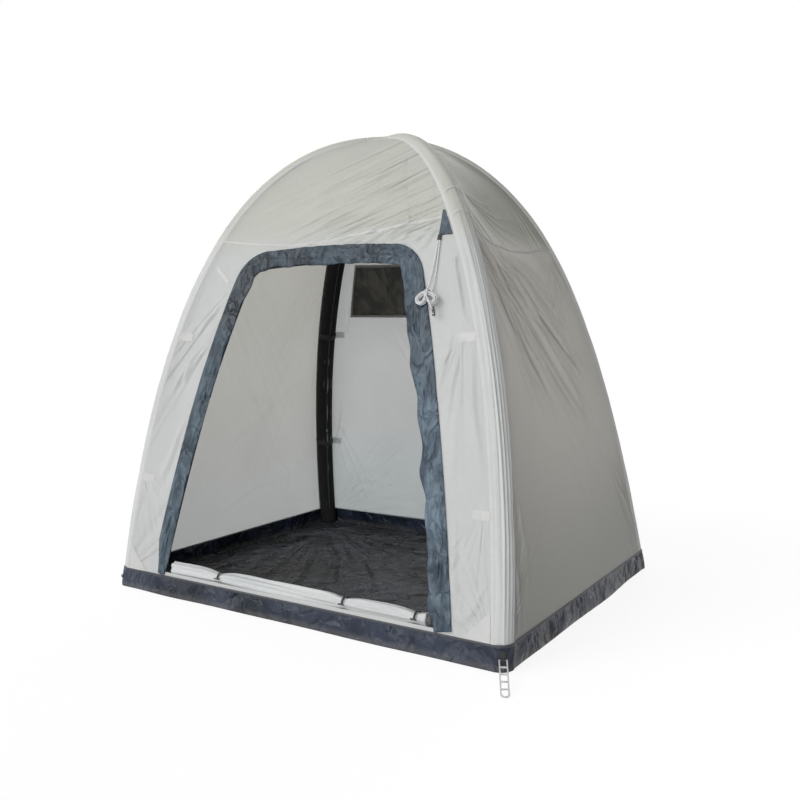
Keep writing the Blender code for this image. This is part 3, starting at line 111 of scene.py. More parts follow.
class Finish:
    """Material of one surface, built node by node onto its Principled shader."""

    def __init__(self, name, roughness=0.6, **fixed):
        self.material = bpy.data.materials.new(name)
        self.material.use_nodes = True
        self.nodes = self.material.node_tree.nodes
        self.links = self.material.node_tree.links
        self.shader = self.nodes["Principled BSDF"]
        self.end = self.nodes["Material Output"]
        self.shader.inputs["Roughness"].default_value = roughness
        for socket, value in fixed.items():
            self.shader.inputs[socket.replace("_", " ")].default_value = value

    def feed(self, socket, value):
        """Give a socket its number, colour or link."""
        if isinstance(value, Mark):
            self.links.new(value.socket, socket)
        elif isinstance(value, tuple) and len(value) == 3 and socket.type == "RGBA":
            socket.default_value = (*value, 1.0)
        else:
            socket.default_value = value

    def node(self, kind, settings=None, inputs=None, output=0):
        """Any other node, from its type, its settings and what its sockets are fed."""
        made = self.nodes.new(kind)
        for setting, value in (settings or {}).items():
            if setting == "stops":
                made.color_ramp.interpolation = "EASE"
                for stop in range(len(value) - 2):
                    made.color_ramp.elements.new(0.5)
                for element, (place, colour) in zip(made.color_ramp.elements, value):
                    element.position = place
                    element.color = (*colour, 1.0) if isinstance(colour, tuple) else (colour,) * 3 + (1.0,)
            else:
                setattr(made, setting, value)
        for socket, value in (inputs or {}).items():
            self.feed(made.inputs[socket], value)
        return Mark(self, made.outputs[output])

    def place(self):
        """Place on the object, in metres."""
        return self.node("ShaderNodeTexCoord", output="Object")

    def along(self):
        """Place on the cloth's own map, in metres across and along it."""
        return self.node("ShaderNodeTexCoord", output="UV")

    def stretch(self, vector, scale, turn=(0.0, 0.0, 0.0)):
        return self.node("ShaderNodeMapping", None, {"Vector": vector, "Scale": scale, "Rotation": turn})

    def speckle(self, vector, scale, detail=2.0, distortion=0.0, roughness=0.5):
        return self.node("ShaderNodeTexNoise", None, {
            "Vector": vector, "Scale": scale, "Detail": detail, "Distortion": distortion,
            "Roughness": roughness})

    def bands(self, vector, period, direction="X"):
        """Even ridges, a period apart."""
        return self.node("ShaderNodeTexWave", {"bands_direction": direction, "wave_profile": "SIN"},
                         {"Vector": vector, "Scale": math.pi / 10 / period}, output="Fac")

    def ramp(self, factor, *stops):
        return self.node("ShaderNodeValToRGB", {"stops": stops}, {"Fac": factor})

    def mix(self, factor, first, second, blend="MIX"):
        return self.node("ShaderNodeMix", {"data_type": "RGBA", "blend_type": blend},
                         {0: factor, 6: first, 7: second}, output=2)

    def bump(self, height, distance, strength=1.0, normal=None):
        inputs = {"Height": height, "Distance": distance, "Strength": strength}
        if normal:
            inputs["Normal"] = normal
        return self.node("ShaderNodeBump", None, inputs)

    def wear(self, colour=None, roughness=None, normal=None, alpha=None):
        """Feed what changes over the surface to the shader."""
        for socket, value in (("Base Color", colour), ("Roughness", roughness), ("Normal", normal),
                              ("Alpha", alpha)):
            if value is not None:
                self.feed(self.shader.inputs[socket], value)

    def split(self, vector, axis):
        """One of a place's three numbers."""
        return self.node("ShaderNodeSeparateXYZ", None, {"Vector": vector}, output=axis)

    def cracks(self, vector, scale):
        """Distance from the edges of a pattern of irregular cells, for sharp creases."""
        return self.node("ShaderNodeTexVoronoi", {"feature": "DISTANCE_TO_EDGE"},
                         {"Vector": vector, "Scale": scale})

    def cover(self, share, over):
        """Mix another shader over this one, and let the result be the surface."""
        both = self.nodes.new("ShaderNodeMixShader")
        self.feed(both.inputs[0], share)
        self.links.new(self.shader.outputs[0], both.inputs[1])
        self.links.new(over.socket, both.inputs[2])
        self.links.new(both.outputs[0], self.end.inputs["Surface"])

    def fan(self, centre, along, across, wide, near, reach, count, seed):
        """Fine folds that fan out from a point; along is the middle one's direction."""
        away = self.node("ShaderNodeVectorMath", {"operation": "SUBTRACT"}, {0: self.place(), 1: centre})
        far, beside = (self.node("ShaderNodeVectorMath", {"operation": "DOT_PRODUCT"},
                                 {0: away, 1: direction}, output="Value") for direction in (along, across))
        angle = self.node("ShaderNodeMath", {"operation": "ARCTAN2"}, {0: beside, 1: far})
        spot = self.node("ShaderNodeCombineXYZ", None, {"X": angle * count, "Y": far * 1.6, "Z": 7.7 * seed})
        ridges = self.ramp(self.speckle(spot, 1.0, 0.7, 0.2, 0.4), (0.30, 0.0), (0.70, 1.0))
        beam = self.node("ShaderNodeMath", {"operation": "ABSOLUTE"}, {0: angle * (1 / wide)})
        ends = self.ramp(far * (1 / reach), (near, 0.0), (near + 0.22, 1.0), (0.75, 1.0), (1.0, 0.0))
        return ridges * self.ramp(beam, (0.5, 1.0), (1.0, 0.0)) * ends


def add_piece(name, mesh, *finishes, body="tent"):
    """Link a finished mesh, give it its materials and let it ride on a body."""
    piece = bpy.data.objects.new(name, mesh)
    bpy.context.scene.collection.objects.link(piece)
    mesh.materials.clear()
    for finish in finishes:
        mesh.materials.append(finish.material)
    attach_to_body(piece, body)
    return piece


def thread(name, points, diameter, finish, body="tent"):
    """Round cord through a list of points, smoothed between them."""
    ends = [2 * points[0] - points[1]] + points + [2 * points[-1] - points[-2]]
    line = []
    for p0, p1, p2, p3 in zip(ends, ends[1:], ends[2:], ends[3:]):
        for f in (0.0, 0.5):
            line.append(0.5 * (2 * p1 + (p2 - p0) * f + (2 * p0 - 5 * p1 + 4 * p2 - p3) * f ** 2
                               + (3 * p1 - p0 - 3 * p2 + p3) * f ** 3))
    line.append(points[-1])
    curve = bpy.data.curves.new(name, "CURVE")
    curve.dimensions = "3D"
    curve.bevel_depth = diameter / 2
    curve.bevel_resolution = 3
    curve.use_fill_caps = True
    spline = curve.splines.new("POLY")
    spline.points.add(len(line) - 1)
    for knot, point in zip(spline.points, line):
        knot.co = (*point, 1.0)
    curve.materials.append(finish.material)
    cord = bpy.data.objects.new(name, curve)
    bpy.context.scene.collection.objects.link(cord)
    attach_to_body(cord, body)
    return cord


braid = Finish("white braided rope", roughness=0.75, Sheen_Weight=0.2)
BRAID_PERIOD = 0.0022
spot = braid.place()
strands = braid.bands(braid.stretch(spot, (1.0, 1.0, 1.0), (0.6, 0.4, 0.3)), BRAID_PERIOD)
cross = braid.bands(braid.stretch(spot, (1.0, 1.0, 1.0), (-0.6, 0.3, -0.5)), BRAID_PERIOD)
braid.wear(
    colour=braid.mix(strands * cross, (0.52, 0.53, 0.54), (0.84, 0.85, 0.85)),
    normal=braid.bump(strands * cross, 0.0004, 0.7))

ROPE_D = 0.005
rope_route = [Vector(point) for point in (
    (0.5529, -0.4797, 1.5227), (0.5536, -0.4841, 1.5090), (0.5547, -0.4893, 1.4923),
    (0.5556, -0.4937, 1.4781), (0.5562, -0.4980, 1.4640), (0.5567, -0.5025, 1.4490),
    (0.5571, -0.5072, 1.4333), (0.5573, -0.5119, 1.4180), (0.5575, -0.5164, 1.4039),
    (0.5574, -0.5207, 1.3905), (0.5571, -0.5249, 1.3777), (0.5569, -0.5304, 1.3624),
    (0.5570, -0.5359, 1.3490), (0.5574, -0.5427, 1.3348), (0.5567, -0.5479, 1.3221))]
rope = thread("guy_rope_strand", rope_route, ROPE_D, braid)
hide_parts("guy_rope")

HANK_TURNS, HANK_LAYERS, HANK_POINTS = 2, 4, 24
HANK_HALF, HANK_WAIST, HANK_LOBE = 0.052, 0.003, 0.020
HANK_STEP, HANK_LAYER_STEP = 0.0063, 0.0058
HANK_BEND, HANK_DROOP = 0.022, math.radians(50)
HANK_MIDDLE, HANK_ACROSS = (0.54494, -0.56089, 1.30747), (0.99983, 0.00936, 0.01590)
HANK_UP, HANK_OUT = (-0.01780, 0.26196, 0.96491), (0.00486, -0.96503, 0.26208)
HANK_PLACE = facing(HANK_MIDDLE, HANK_ACROSS, HANK_UP, HANK_OUT)


def hank_inmost(angle):
    """Innermost turn of the flat hank: two lobes with a narrow waist."""
    wide = HANK_WAIST + (HANK_LOBE - HANK_WAIST) * math.cos(angle) ** 2
    return Vector(((HANK_HALF - HANK_TURNS * HANK_STEP) * math.cos(angle), wide * math.sin(angle)))


def hank_route():
    """Turns that spiral in and out, layer by layer, with both lobes drooping."""
    route = []
    for index in range(HANK_TURNS * HANK_LAYERS * HANK_POINTS + 1):
        turns = index / HANK_POINTS
        layer = min(int(turns / HANK_TURNS), HANK_LAYERS - 1)
        within = turns - layer * HANK_TURNS
        spiral = within if layer % 2 else HANK_TURNS - within
        climb = sum(min(max(2 * (turns - change * HANK_TURNS) + 0.5, 0.0), 1.0)
                    for change in range(1, HANK_LAYERS))
        angle = math.pi / 2 - 2 * math.pi * turns
        run = hank_inmost(angle + 0.01) - hank_inmost(angle - 0.01)
        x, y = hank_inmost(angle) + Vector((run.y, -run.x)).normalized() * spiral * HANK_STEP
        bend = HANK_DROOP * max(-1.0, min(1.0, x / HANK_BEND))
        straight = x - max(-HANK_BEND, min(HANK_BEND, x))
        radius = HANK_BEND / HANK_DROOP
        across = radius * math.sin(bend) + straight * math.cos(bend) + y * math.sin(bend)
        down = radius * (1 - math.cos(bend)) + straight * math.sin(bend) - y * math.cos(bend)
        out = HANK_LAYER_STEP * (climb - (HANK_LAYERS - 1) / 2)
        route.append(HANK_PLACE @ Vector((across, -down, out)))
    return route


hank = thread("guy_rope_hank", hank_route(), ROPE_D, braid)
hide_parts("guy_hank")

tail_route = [Vector(point) for point in (
    (0.5461, -0.4796, 1.5225), (0.5460, -0.4841, 1.5088), (0.5456, -0.4892, 1.4920),
    (0.5452, -0.4936, 1.4778), (0.5448, -0.4981, 1.4638), (0.5443, -0.5030, 1.4489),
    (0.5438, -0.5082, 1.4333), (0.5432, -0.5135, 1.4181), (0.5428, -0.5186, 1.4041),
    (0.5423, -0.5237, 1.3906), (0.5420, -0.5289, 1.3777), (0.5415, -0.5352, 1.3630),
    (0.5409, -0.5416, 1.3503), (0.5403, -0.5504, 1.3387), (0.5408, -0.5623, 1.3324),
    (0.5413, -0.5689, 1.3300), (0.5419, -0.5711, 1.3257), (0.5430, -0.5756, 1.3127),
    (0.5442, -0.5780, 1.2997), (0.5449, -0.5778, 1.2947), (0.5452, -0.5736, 1.2916),
    (0.5452, -0.5607, 1.2877), (0.5452, -0.5538, 1.2873), (0.5451, -0.5505, 1.2911),
    (0.5450, -0.5459, 1.3033), (0.5458, -0.5431, 1.3167), (0.5466, -0.5428, 1.3230),
    (0.5476, -0.5469, 1.3263), (0.5481, -0.5596, 1.3303), (0.5481, -0.5671, 1.3308),
    (0.5482, -0.5706, 1.3268), (0.5481, -0.5752, 1.3136), (0.5496, -0.5774, 1.3071),
    (0.5572, -0.5814, 1.2957), (0.5650, -0.5846, 1.2849), (0.5722, -0.5880, 1.2739),
    (0.5805, -0.5912, 1.2601), (0.5805, -0.5844, 1.2582), (0.5804, -0.5787, 1.2567),
    (0.5804, -0.5764, 1.2561), (0.5807, -0.5731, 1.2541), (0.5814, -0.5711, 1.2509),
    (0.5824, -0.5711, 1.2471), (0.5837, -0.5723, 1.2425), (0.5847, -0.5743, 1.2392),
    (0.5854, -0.5776, 1.2374), (0.5857, -0.5815, 1.2374), (0.5857, -0.5837, 1.2380),
    (0.5858, -0.5895, 1.2396))]
tail = thread("guy_rope_tail", tail_route, ROPE_D, braid)
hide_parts("guy_tail")

moulded = Finish("black moulded plastic", roughness=0.42)
grain = moulded.speckle(moulded.place(), 900.0, 3.0)
moulded.wear(
    colour=moulded.mix(grain, (0.012, 0.012, 0.014), (0.035, 0.035, 0.038)),
    roughness=moulded.ramp(grain, (0.3, 0.38), (0.7, 0.55)),
    normal=moulded.bump(grain, 0.00015, 0.5))


def refinish(finish, *names):
    """Give a rigid part that keeps its own shape its detailed material."""
    for name in names:
        part = frame["nodes"][name]
        part.data.materials.clear()
        part.data.materials.append(finish.material)


refinish(moulded, "rope_tensioner")

# Sleeves: a black polyester tube zipped round each air-filled leg, with slight lengthwise puckers
# and a zip coil down its inner face. The leg leans and curves over to the crown.
WIDTH, DEPTH, AXIS_HEIGHT = 2.0, 1.6, 2.014
FRAME_TWIST, TWIST_SETTLES = math.radians(4.3), 0.75
LEG_LEAN, LEAN_FROM, LEG_PULL, CROWN_PULL = math.radians(9.1), 0.3, 1.09, 0.75
SLEEVE_R, SKIN_R = 0.046, 0.05024
TUB_R = SKIN_R + 0.001
FOOT_X, FOOT_Y = WIDTH / 2 - TUB_R, DEPTH / 2 - TUB_R
RIM_HEIGHT, CROWN_SPAN = 0.085, 0.1
LEGS = {"front_left": (-1, -1), "front_right": (1, -1), "back_right": (1, 1), "back_left": (-1, 1)}


def leg_profile(t):
    """Distance from the middle, height and inward lean of a leg's line, t from foot to crown."""
    foot = Vector((math.hypot(FOOT_X, FOOT_Y), 0.0))
    knee = foot + LEG_PULL * Vector((-math.sin(LEG_LEAN), math.cos(LEG_LEAN)))
    shoulder = Vector((CROWN_PULL, AXIS_HEIGHT))
    crown = Vector((0.0, AXIS_HEIGHT))
    r = 1 - t
    point = foot * r ** 3 + knee * 3 * r * r * t + shoulder * 3 * r * t * t + crown * t ** 3
    slope = (knee - foot) * r * r + (shoulder - knee) * 2 * r * t + (crown - shoulder) * t * t
    return point.x, point.y, math.atan2(-slope.x, slope.y)


def solve(measure, target):
    """Value of t at which a rising measure of the profile meets its target."""
    low, high = 0.0, 1.0
    for _ in range(40):
        middle = (low + high) / 2
        if measure(leg_profile(middle)) < target:
            low = middle
        else:
            high = middle
    return (low + high) / 2


def leg_point(leg, t, angle, radius):
    """Point at an angle round a leg's line; angle 0 faces away from the tent's middle."""
    span, height, lean = leg_profile(t)
    side_x, side_y = LEGS[leg]
    settled = min(max(height / (TWIST_SETTLES * AXIS_HEIGHT), 0.0), 1.0)
    bearing = (math.atan2(side_y * FOOT_Y, side_x * FOOT_X)
               + FRAME_TWIST * math.sin(settled * math.pi / 2))
    lean *= min(height / LEAN_FROM, 1.0)
    away = Vector((math.cos(bearing), math.sin(bearing), 0.0))
    around = Vector((-math.sin(bearing), math.cos(bearing), 0.0))
    out = away * math.cos(lean) + Vector((0, 0, math.sin(lean)))
    return (away * span + Vector((0, 0, height))
            + radius * (math.cos(angle) * out + math.sin(angle) * around))


T_RIM = solve(lambda place: place[1], RIM_HEIGHT)
T_CROWN = solve(lambda place: -place[0], -CROWN_SPAN)


def leg_spot(leg, height, angle, radius):
    """Point round a leg at a height."""
    return leg_point(leg, solve(lambda place: place[1], height), angle, radius)


def attach(piece, parent):
    """Sew a small piece onto a larger one, so that it goes with it."""
    piece.parent = parent
    piece.matrix_parent_inverse = Matrix.Identity(4)
    return piece


def cloth_mesh(name, columns, rows, place, close=False):
    """Grid of cloth with each corner put in its place, and a map of the cloth in metres."""
    bm = bmesh.new()
    bmesh.ops.create_grid(bm, x_segments=columns, y_segments=rows, size=0.5)
    flat = {vert: (vert.co.x + 0.5, vert.co.y + 0.5) for vert in bm.verts}
    for vert, (across, up) in flat.items():
        vert.co = place(across, up)
    ends = [place(across, up) for across, up in ((0.0, 0.5), (1.0, 0.5), (0.5, 0.0), (0.5, 1.0))]
    middle = place(0.5, 0.5)
    wide = (ends[0] - middle).length + (ends[1] - middle).length
    tall = (ends[2] - middle).length + (ends[3] - middle).length
    layer = bm.loops.layers.uv.new("cloth")
    for face in bm.faces:
        face.smooth = True
        for loop in face.loops:
            across, up = flat[loop.vert]
            loop[layer].uv = (across * wide, up * tall)
    if close:
        bmesh.ops.remove_doubles(bm, verts=bm.verts, dist=0.00002)
    mesh = bpy.data.meshes.new(name)
    bm.to_mesh(mesh)
    bm.free()
    return mesh


def cut_round(mesh, centre, radius):
    """Cut a round hole in cloth, with the points nearest to its edge moved onto it."""
    bm = bmesh.new()
    bm.from_mesh(mesh)
    for vert in bm.verts:
        away = vert.co - centre
        if abs(away.length - radius) < 0.35 * radius:
            vert.co = centre + away * (radius / away.length)
    gone = [face for face in bm.faces if (face.calc_center_median() - centre).length < 0.98 * radius]
    bmesh.ops.delete(bm, geom=gone, context="FACES")
    bm.to_mesh(mesh)
    bm.free()


def thicken(piece, thickness, offset=-1.0):
    """Give cloth its thickness, inwards unless the offset says otherwise."""
    solid = piece.modifiers.new("thickness", "SOLIDIFY")
    solid.thickness = thickness
    solid.offset = offset


PAINTED_LIGHT_LEVELS = (0.10, 0.42, 0.74, 0.82)


def woven(name, colour, shade, period=0.0016, weave=0.0003, crinkle=0.002, crinkle_scale=9.0,
          roughness=(0.5, 0.7), glow=0.0, streak=(1.0, 1.0, 1.0), fans=(), painted_light_tints=None, **fixed):
    """Cloth: uneven dye, fine crinkles, fanned folds, a plain weave that follows its own map, and painted
    light and shade from tints that change with height.
    """
    cloth = Finish(name, **fixed)
    spot = cloth.place()
    cloud = cloth.speckle(spot, 2.6, 3.0, 0.3)
    fine = cloth.speckle(spot, 60.0, 2.0)
    folds = cloth.speckle(cloth.stretch(spot, streak), crinkle_scale, 4.0, 0.8, 0.55)
    warp = cloth.bands(cloth.along(), period, "X")
    weft = cloth.bands(cloth.along(), period, "Y")
    tone = cloth.mix(cloth.ramp(cloud * 0.7 + fine * 0.3, (0.3, 0.0), (0.7, 1.0)), shade, colour)
    tone = cloth.mix(warp * weft * 0.10, tone, tuple(0.6 * c for c in shade))
    # Painted light and shade: the colour is multiplied by tints that change with height.
    if painted_light_tints:
        level = cloth.split(spot, "Z")
        tone = cloth.mix(1.0, tone, cloth.ramp(level * 0.5, *zip(PAINTED_LIGHT_LEVELS, painted_light_tints)), "MULTIPLY")
    normal = cloth.bump(folds, crinkle)
    if fans:
        heights = [cloth.fan(*fan[:-1], seed) * fan[-1] for seed, fan in enumerate(fans)]
        normal = cloth.bump(sum(heights[1:], heights[0]), 1.0, 1.0, normal)
    normal = cloth.bump(warp * weft, weave, 0.6, normal)
    cloth.wear(colour=tone, roughness=cloth.ramp(cloud, (0.3, roughness[0]), (0.7, roughness[1])),
               normal=normal)
    if glow:
        cloth.cover(glow, cloth.node("ShaderNodeBsdfTranslucent", None, {"Color": tone, "Normal": normal}))
    return cloth


black_cloth = woven("black sleeve cloth", (0.016, 0.016, 0.018), (0.009, 0.009, 0.010), crinkle=0.0009,
                    crinkle_scale=16.0, streak=(1.0, 1.0, 0.25), roughness=(0.75, 0.9),
                    Specular_IOR_Level=0.25)
zip_coil = Finish("zip coil", roughness=0.4)
COIL_PITCH = 0.0022
teeth = zip_coil.bands(zip_coil.along(), COIL_PITCH, "Y")
zip_coil.wear(colour=zip_coil.mix(teeth, (0.008, 0.008, 0.009), (0.06, 0.06, 0.065)),
              normal=zip_coil.bump(teeth, 0.0008))

SLEEVE_COLUMNS, SLEEVE_ROWS, SLEEVE_T = 36, 150, 0.0004
SLEEVE_FOOT, SLEEVE_TURN, SLEEVE_TUCK, FLOOR_CLEAR = 0.002, 0.97, 0.034, 0.0019
BEND_HEIGHT, BEND_EASES, BEND_ROOM = 1.0, 0.3, 0.0030
STRAP_HEIGHTS, STRAP_PINCH, PINCH_REACH = (0.52, 1.15), 0.0003, 0.03
VALVE_LEG, VALVE_HEIGHT, VALVE_HOLE_R = "front_left", 0.30, 0.0125
COIL_FOOT, COIL_ABOVE_VALVE, COIL_HEAD = 0.03, 0.24, 0.93
COIL_HALF_ANGLE, COIL_SUNK, COIL_RISE = 0.075, 0.0007, 0.0018
PUCKER_MIDDLE, PUCKER = 0.0008, 0.0006
for leg in LEGS:
    end = leg_point(leg, T_CROWN, 0.0, 0.0)
    heading = Vector((end.x, end.y, 0.0)).normalized()
    with_valve = leg == VALVE_LEG

    def sleeve_at(along, angle, radius, leg=leg, heading=heading):
        """Point of the sleeve, which is roomier where the leg bends and tucked under the crown."""
        t = SLEEVE_FOOT + (T_CROWN - SLEEVE_FOOT) * min(along / SLEEVE_TURN, 1.0)
        past = max(along - SLEEVE_TURN, 0.0) / (1 - SLEEVE_TURN) * SLEEVE_TUCK
        bend = min(max((leg_profile(t)[1] - BEND_HEIGHT) / BEND_EASES, 0.0), 1.0)
        point = leg_point(leg, t, angle, radius + BEND_ROOM * bend * max(0.0, -math.cos(angle)))
        point.z = max(point.z, FLOOR_CLEAR)
        return point - heading * past

    def sleeve_place(across, up, leg=leg, sleeve_at=sleeve_at):
        """Puckered cloth round the leg, pulled in a little by each strap."""
        angle = math.pi + 2 * math.pi * across
        pucker = noise.noise(Vector((6 * math.cos(angle), 6 * math.sin(angle), 3 * up + LEGS[leg][0])))
        level = leg_profile(T_CROWN * up)[1]
        pinch = sum(STRAP_PINCH * math.exp(-((level - height) / PINCH_REACH) ** 2)
                    for height in STRAP_HEIGHTS)
        return sleeve_at(up, angle, SLEEVE_R - PUCKER_MIDDLE + PUCKER * pucker - pinch)

    finer = 2 if with_valve else 1
    mesh = cloth_mesh("sleeve", SLEEVE_COLUMNS * finer, SLEEVE_ROWS * finer, sleeve_place, close=True)
    if with_valve:
        cut_round(mesh, leg_spot(leg, VALVE_HEIGHT, math.pi, SLEEVE_R), VALVE_HOLE_R)
    sleeve = add_piece("leg_sleeve_" + leg, mesh, black_cloth)
    thicken(sleeve, SLEEVE_T)
    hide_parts("sleeve_" + leg)

    def coil_place(across, up, sleeve_at=sleeve_at, low=COIL_ABOVE_VALVE if with_valve else COIL_FOOT):
        """The zip's coil, a low arch down the sleeve's inner side."""
        radius = SLEEVE_R - COIL_SUNK + COIL_RISE * math.cos(math.pi * (across - 0.5))
        return sleeve_at(low + (COIL_HEAD - low) * up, math.pi + COIL_HALF_ANGLE * (2 * across - 1), radius)

    coil = add_piece("leg_zip_coil_" + leg, cloth_mesh("coil", 4, SLEEVE_ROWS, coil_place), zip_coil)
    attach(coil, sleeve)

# Skin: light grey coated polyester, cut as four walls and four corner strips that wrap the legs,
# with taped seams between them and a level seam at shoulder height. The walls draw in a little
# between the legs, and tension folds run from the shoulders and beside the straps.
CREAM = (0.66, 0.66, 0.63)
SEAM_ANGLE = math.radians(60)
ROWS = 200
PANEL_DRAW = 0.03
CLOTH_T = 0.0008
WALLS = {"front": ("front_left", "front_right"), "right": ("front_right", "back_right"),
         "back": ("back_right", "back_left"), "left": ("back_left", "front_left")}
ROW_T = [T_RIM + (T_CROWN - T_RIM) * row / ROWS for row in range(ROWS + 1)]
SEAM_LINE = {}
for leg in LEGS:
    for sign in (-1, 1):
        SEAM_LINE[leg, sign] = [leg_point(leg, t, sign * SEAM_ANGLE, SKIN_R) for t in ROW_T]
WALL_ROWS = {}
for side, (start, end) in WALLS.items():
    firsts, seconds = SEAM_LINE[start, 1], SEAM_LINE[end, -1]
    WALL_ROWS[side] = []
    for row in range(ROWS + 1):
        over, under = min(row + 1, ROWS), max(row - 1, 0)
        rise = firsts[over] + seconds[over] - firsts[under] - seconds[under]
        out = (seconds[row] - firsts[row]).cross(rise).normalized()
        WALL_ROWS[side].append((firsts[row], seconds[row], out))


def wall_point(side, share, rows_up, lift=0.0):
    """Point of a wall, share running from -1 to 1 along its row, lifted off its outer face."""
    low = min(int(rows_up), ROWS - 1)
    spots = []
    for row in (low, low + 1):
        first, second, out = WALL_ROWS[side][row]
        draw = PANEL_DRAW * (1 - share * share) * math.sin(math.pi * row / ROWS)
        spots.append(first.lerp(second, (share + 1) / 2) + out * (lift - draw))
    return spots[0].lerp(spots[1], rows_up - low)


LEVEL = np.array([point.z for point in SEAM_LINE["front_left", 1]])
HALF = {side: np.array([(second - first).length / 2 for first, second, _ in rows])
        for side, rows in WALL_ROWS.items()}


def rows_at_height(height):
    """How many rows up a wall reaches a height."""
    return float(np.interp(height, LEVEL, np.arange(ROWS + 1)))


def half_width(side, height):
    """Half the length of a wall's row at a height, or at each of many."""
    return np.interp(height, LEVEL, HALF[side])


def wall_place(side, sideways, height, lift=0.0):
    """Point beside a wall, from a distance sideways and a height."""
    return wall_point(side, sideways / half_width(side, height), rows_at_height(height), lift)


def crease_lift(sideways, heights, creases):
    """How far folds stand out of the cloth: each is a line of points, a width and a height."""
    lift = np.zeros_like(sideways)
    for number, (points, width, tall) in enumerate(creases):
        legs = [math.dist(a, b) for a, b in zip(points, points[1:])]
        whole = sum(legs)
        nearest = np.full_like(sideways, 9.0)
        offset = np.zeros_like(sideways)
        run = np.zeros_like(sideways)
        before = 0.0
        for (ax, az), (bx, bz), long in zip(points, points[1:], legs):
            ux, uz = (bx - ax) / long, (bz - az) / long
            along = np.clip((sideways - ax) * ux + (heights - az) * uz, 0.0, long)
            dx, dz = sideways - ax - ux * along, heights - az - uz * along
            away = np.hypot(dx, dz)
            closer = away < nearest
            nearest = np.where(closer, away, nearest)
            offset = np.where(closer, np.copysign(away, ux * dz - uz * dx), offset)
            run = np.where(closer, (before + along) / whole, run)
            before += long
        sway = 0.35 * width * np.sin(7.0 * run + 2.3 * number)
        x = (offset + sway) / (width * (0.55 + 0.9 * run))
        taper = np.clip(np.sin(np.pi * np.clip(run, 0.0, 1.0)), 0.0, 1.0) ** 0.7
        lift += tall * taper * (np.exp(-x * x) - 0.55 * np.exp(-((x - 1.7) ** 2) * 0.8))
    return lift


def fan_lift(sideways, heights, centre, bearing, spread, count, reach, tall):
    """Fine folds that fan out from a point, towards a bearing in degrees."""
    dx, dz = sideways - centre[0], heights - centre[1]
    far = np.hypot(dx, dz)
    angle = (np.degrees(np.arctan2(dz, dx)) - bearing + 180) % 360 - 180
    inside = np.clip(1 - (angle / spread) ** 2, 0.0, 1.0)
    fade = np.clip(far / 0.05, 0.0, 1.0) * np.clip(1 - far / reach, 0.0, 1.0)
    ridges = 1 - np.abs(np.sin(np.radians(angle) * count + 1.5 * np.sin(far * 9) + np.sin(angle / 7)))
    return tall * inside * fade * (ridges ** 1.6 - 0.35)


def slack(sideways, heights, seed, size, tall):
    """Slow unevenness of stretched cloth."""
    return np.array([tall * noise.noise(Vector((x / size, z / size * 0.6, seed)))
                     for x, z in zip(sideways, heights)])


FRONT_FOLDS = [
    ([(0.410, 1.801), (0.022, 1.677), (-0.268, 1.573)], 0.016, 0.0045),
    ([(0.421, 1.762), (0.191, 1.701), (-0.105, 1.614)], 0.014, 0.0045),
    ([(0.437, 1.731), (0.245, 1.657), (-0.045, 1.587)], 0.013, 0.0045),
    ([(0.473, 1.683), (0.293, 1.630), (0.061, 1.589)], 0.012, 0.0040),
    ([(0.310, 1.824), (-0.022, 1.704), (-0.291, 1.590)], 0.018, 0.0035),
    ([(0.252, 1.865), (-0.054, 1.779), (-0.319, 1.591)], 0.022, 0.0030),
    ([(0.368, 1.830), (0.090, 1.750), (-0.150, 1.648)], 0.018, 0.0035),
    ([(0.494, 1.616), (0.371, 1.579), (0.320, 1.530)], 0.010, 0.0035),
    ([(0.484, 1.632), (0.300, 1.596), (0.226, 1.537)], 0.010, 0.0035),
    ([(0.479, 1.611), (0.417, 1.553), (0.390, 1.510)], 0.009, 0.0030),
    ([(0.380, 1.618), (0.234, 1.591), (0.165, 1.541)], 0.010, 0.0030),
    ([(0.295, 1.623), (0.132, 1.584), (0.080, 1.531)], 0.011, 0.0030),
    ([(0.129, 1.599), (0.032, 1.560), (-0.006, 1.525)], 0.011, 0.0028),
    ([(-0.045, 1.587), (-0.126, 1.552), (-0.157, 1.520)], 0.011, 0.0025),
    ([(0.501, 1.580), (0.454, 1.528), (0.409, 1.480)], 0.009, 0.0030),
    ([(-0.526, 1.292), (-0.580, 1.230), (-0.636, 1.163)], 0.010, 0.0030),
    ([(-0.589, 1.122), (-0.650, 1.030), (-0.712, 0.937)], 0.012, 0.0040),
    ([(-0.659, 1.046), (-0.700, 0.970), (-0.734, 0.893)], 0.009, 0.0032),
    ([(-0.552, 1.133), (-0.620, 1.040), (-0.686, 0.949)], 0.010, 0.0036),
    ([(-0.640, 0.800), (-0.700, 0.640), (-0.790, 0.470)], 0.014, 0.0030),
    ([(0.624, 1.171), (0.599, 1.070), (0.590, 0.900)], 0.012, 0.0035),
    ([(0.664, 1.154), (0.648, 0.987), (0.630, 0.800)], 0.012, 0.0035),
    ([(0.619, 1.556), (0.591, 1.411), (0.659, 1.196)], 0.012, 0.0035),
    ([(0.571, 1.500), (0.610, 1.384), (0.679, 1.187)], 0.010, 0.0030),
    ([(0.702, 1.153), (0.743, 0.907), (0.822, 0.590)], 0.014, 0.0040),
    ([(0.675, 1.070), (0.670, 0.822), (0.705, 0.580)], 0.014, 0.0030),
    ([(0.720, 0.500), (0.740, 0.320), (0.800, 0.150)], 0.014, 0.0030),
    ([(0.880, 0.300), (0.850, 0.200), (0.760, 0.120)], 0.012, 0.0030),
]
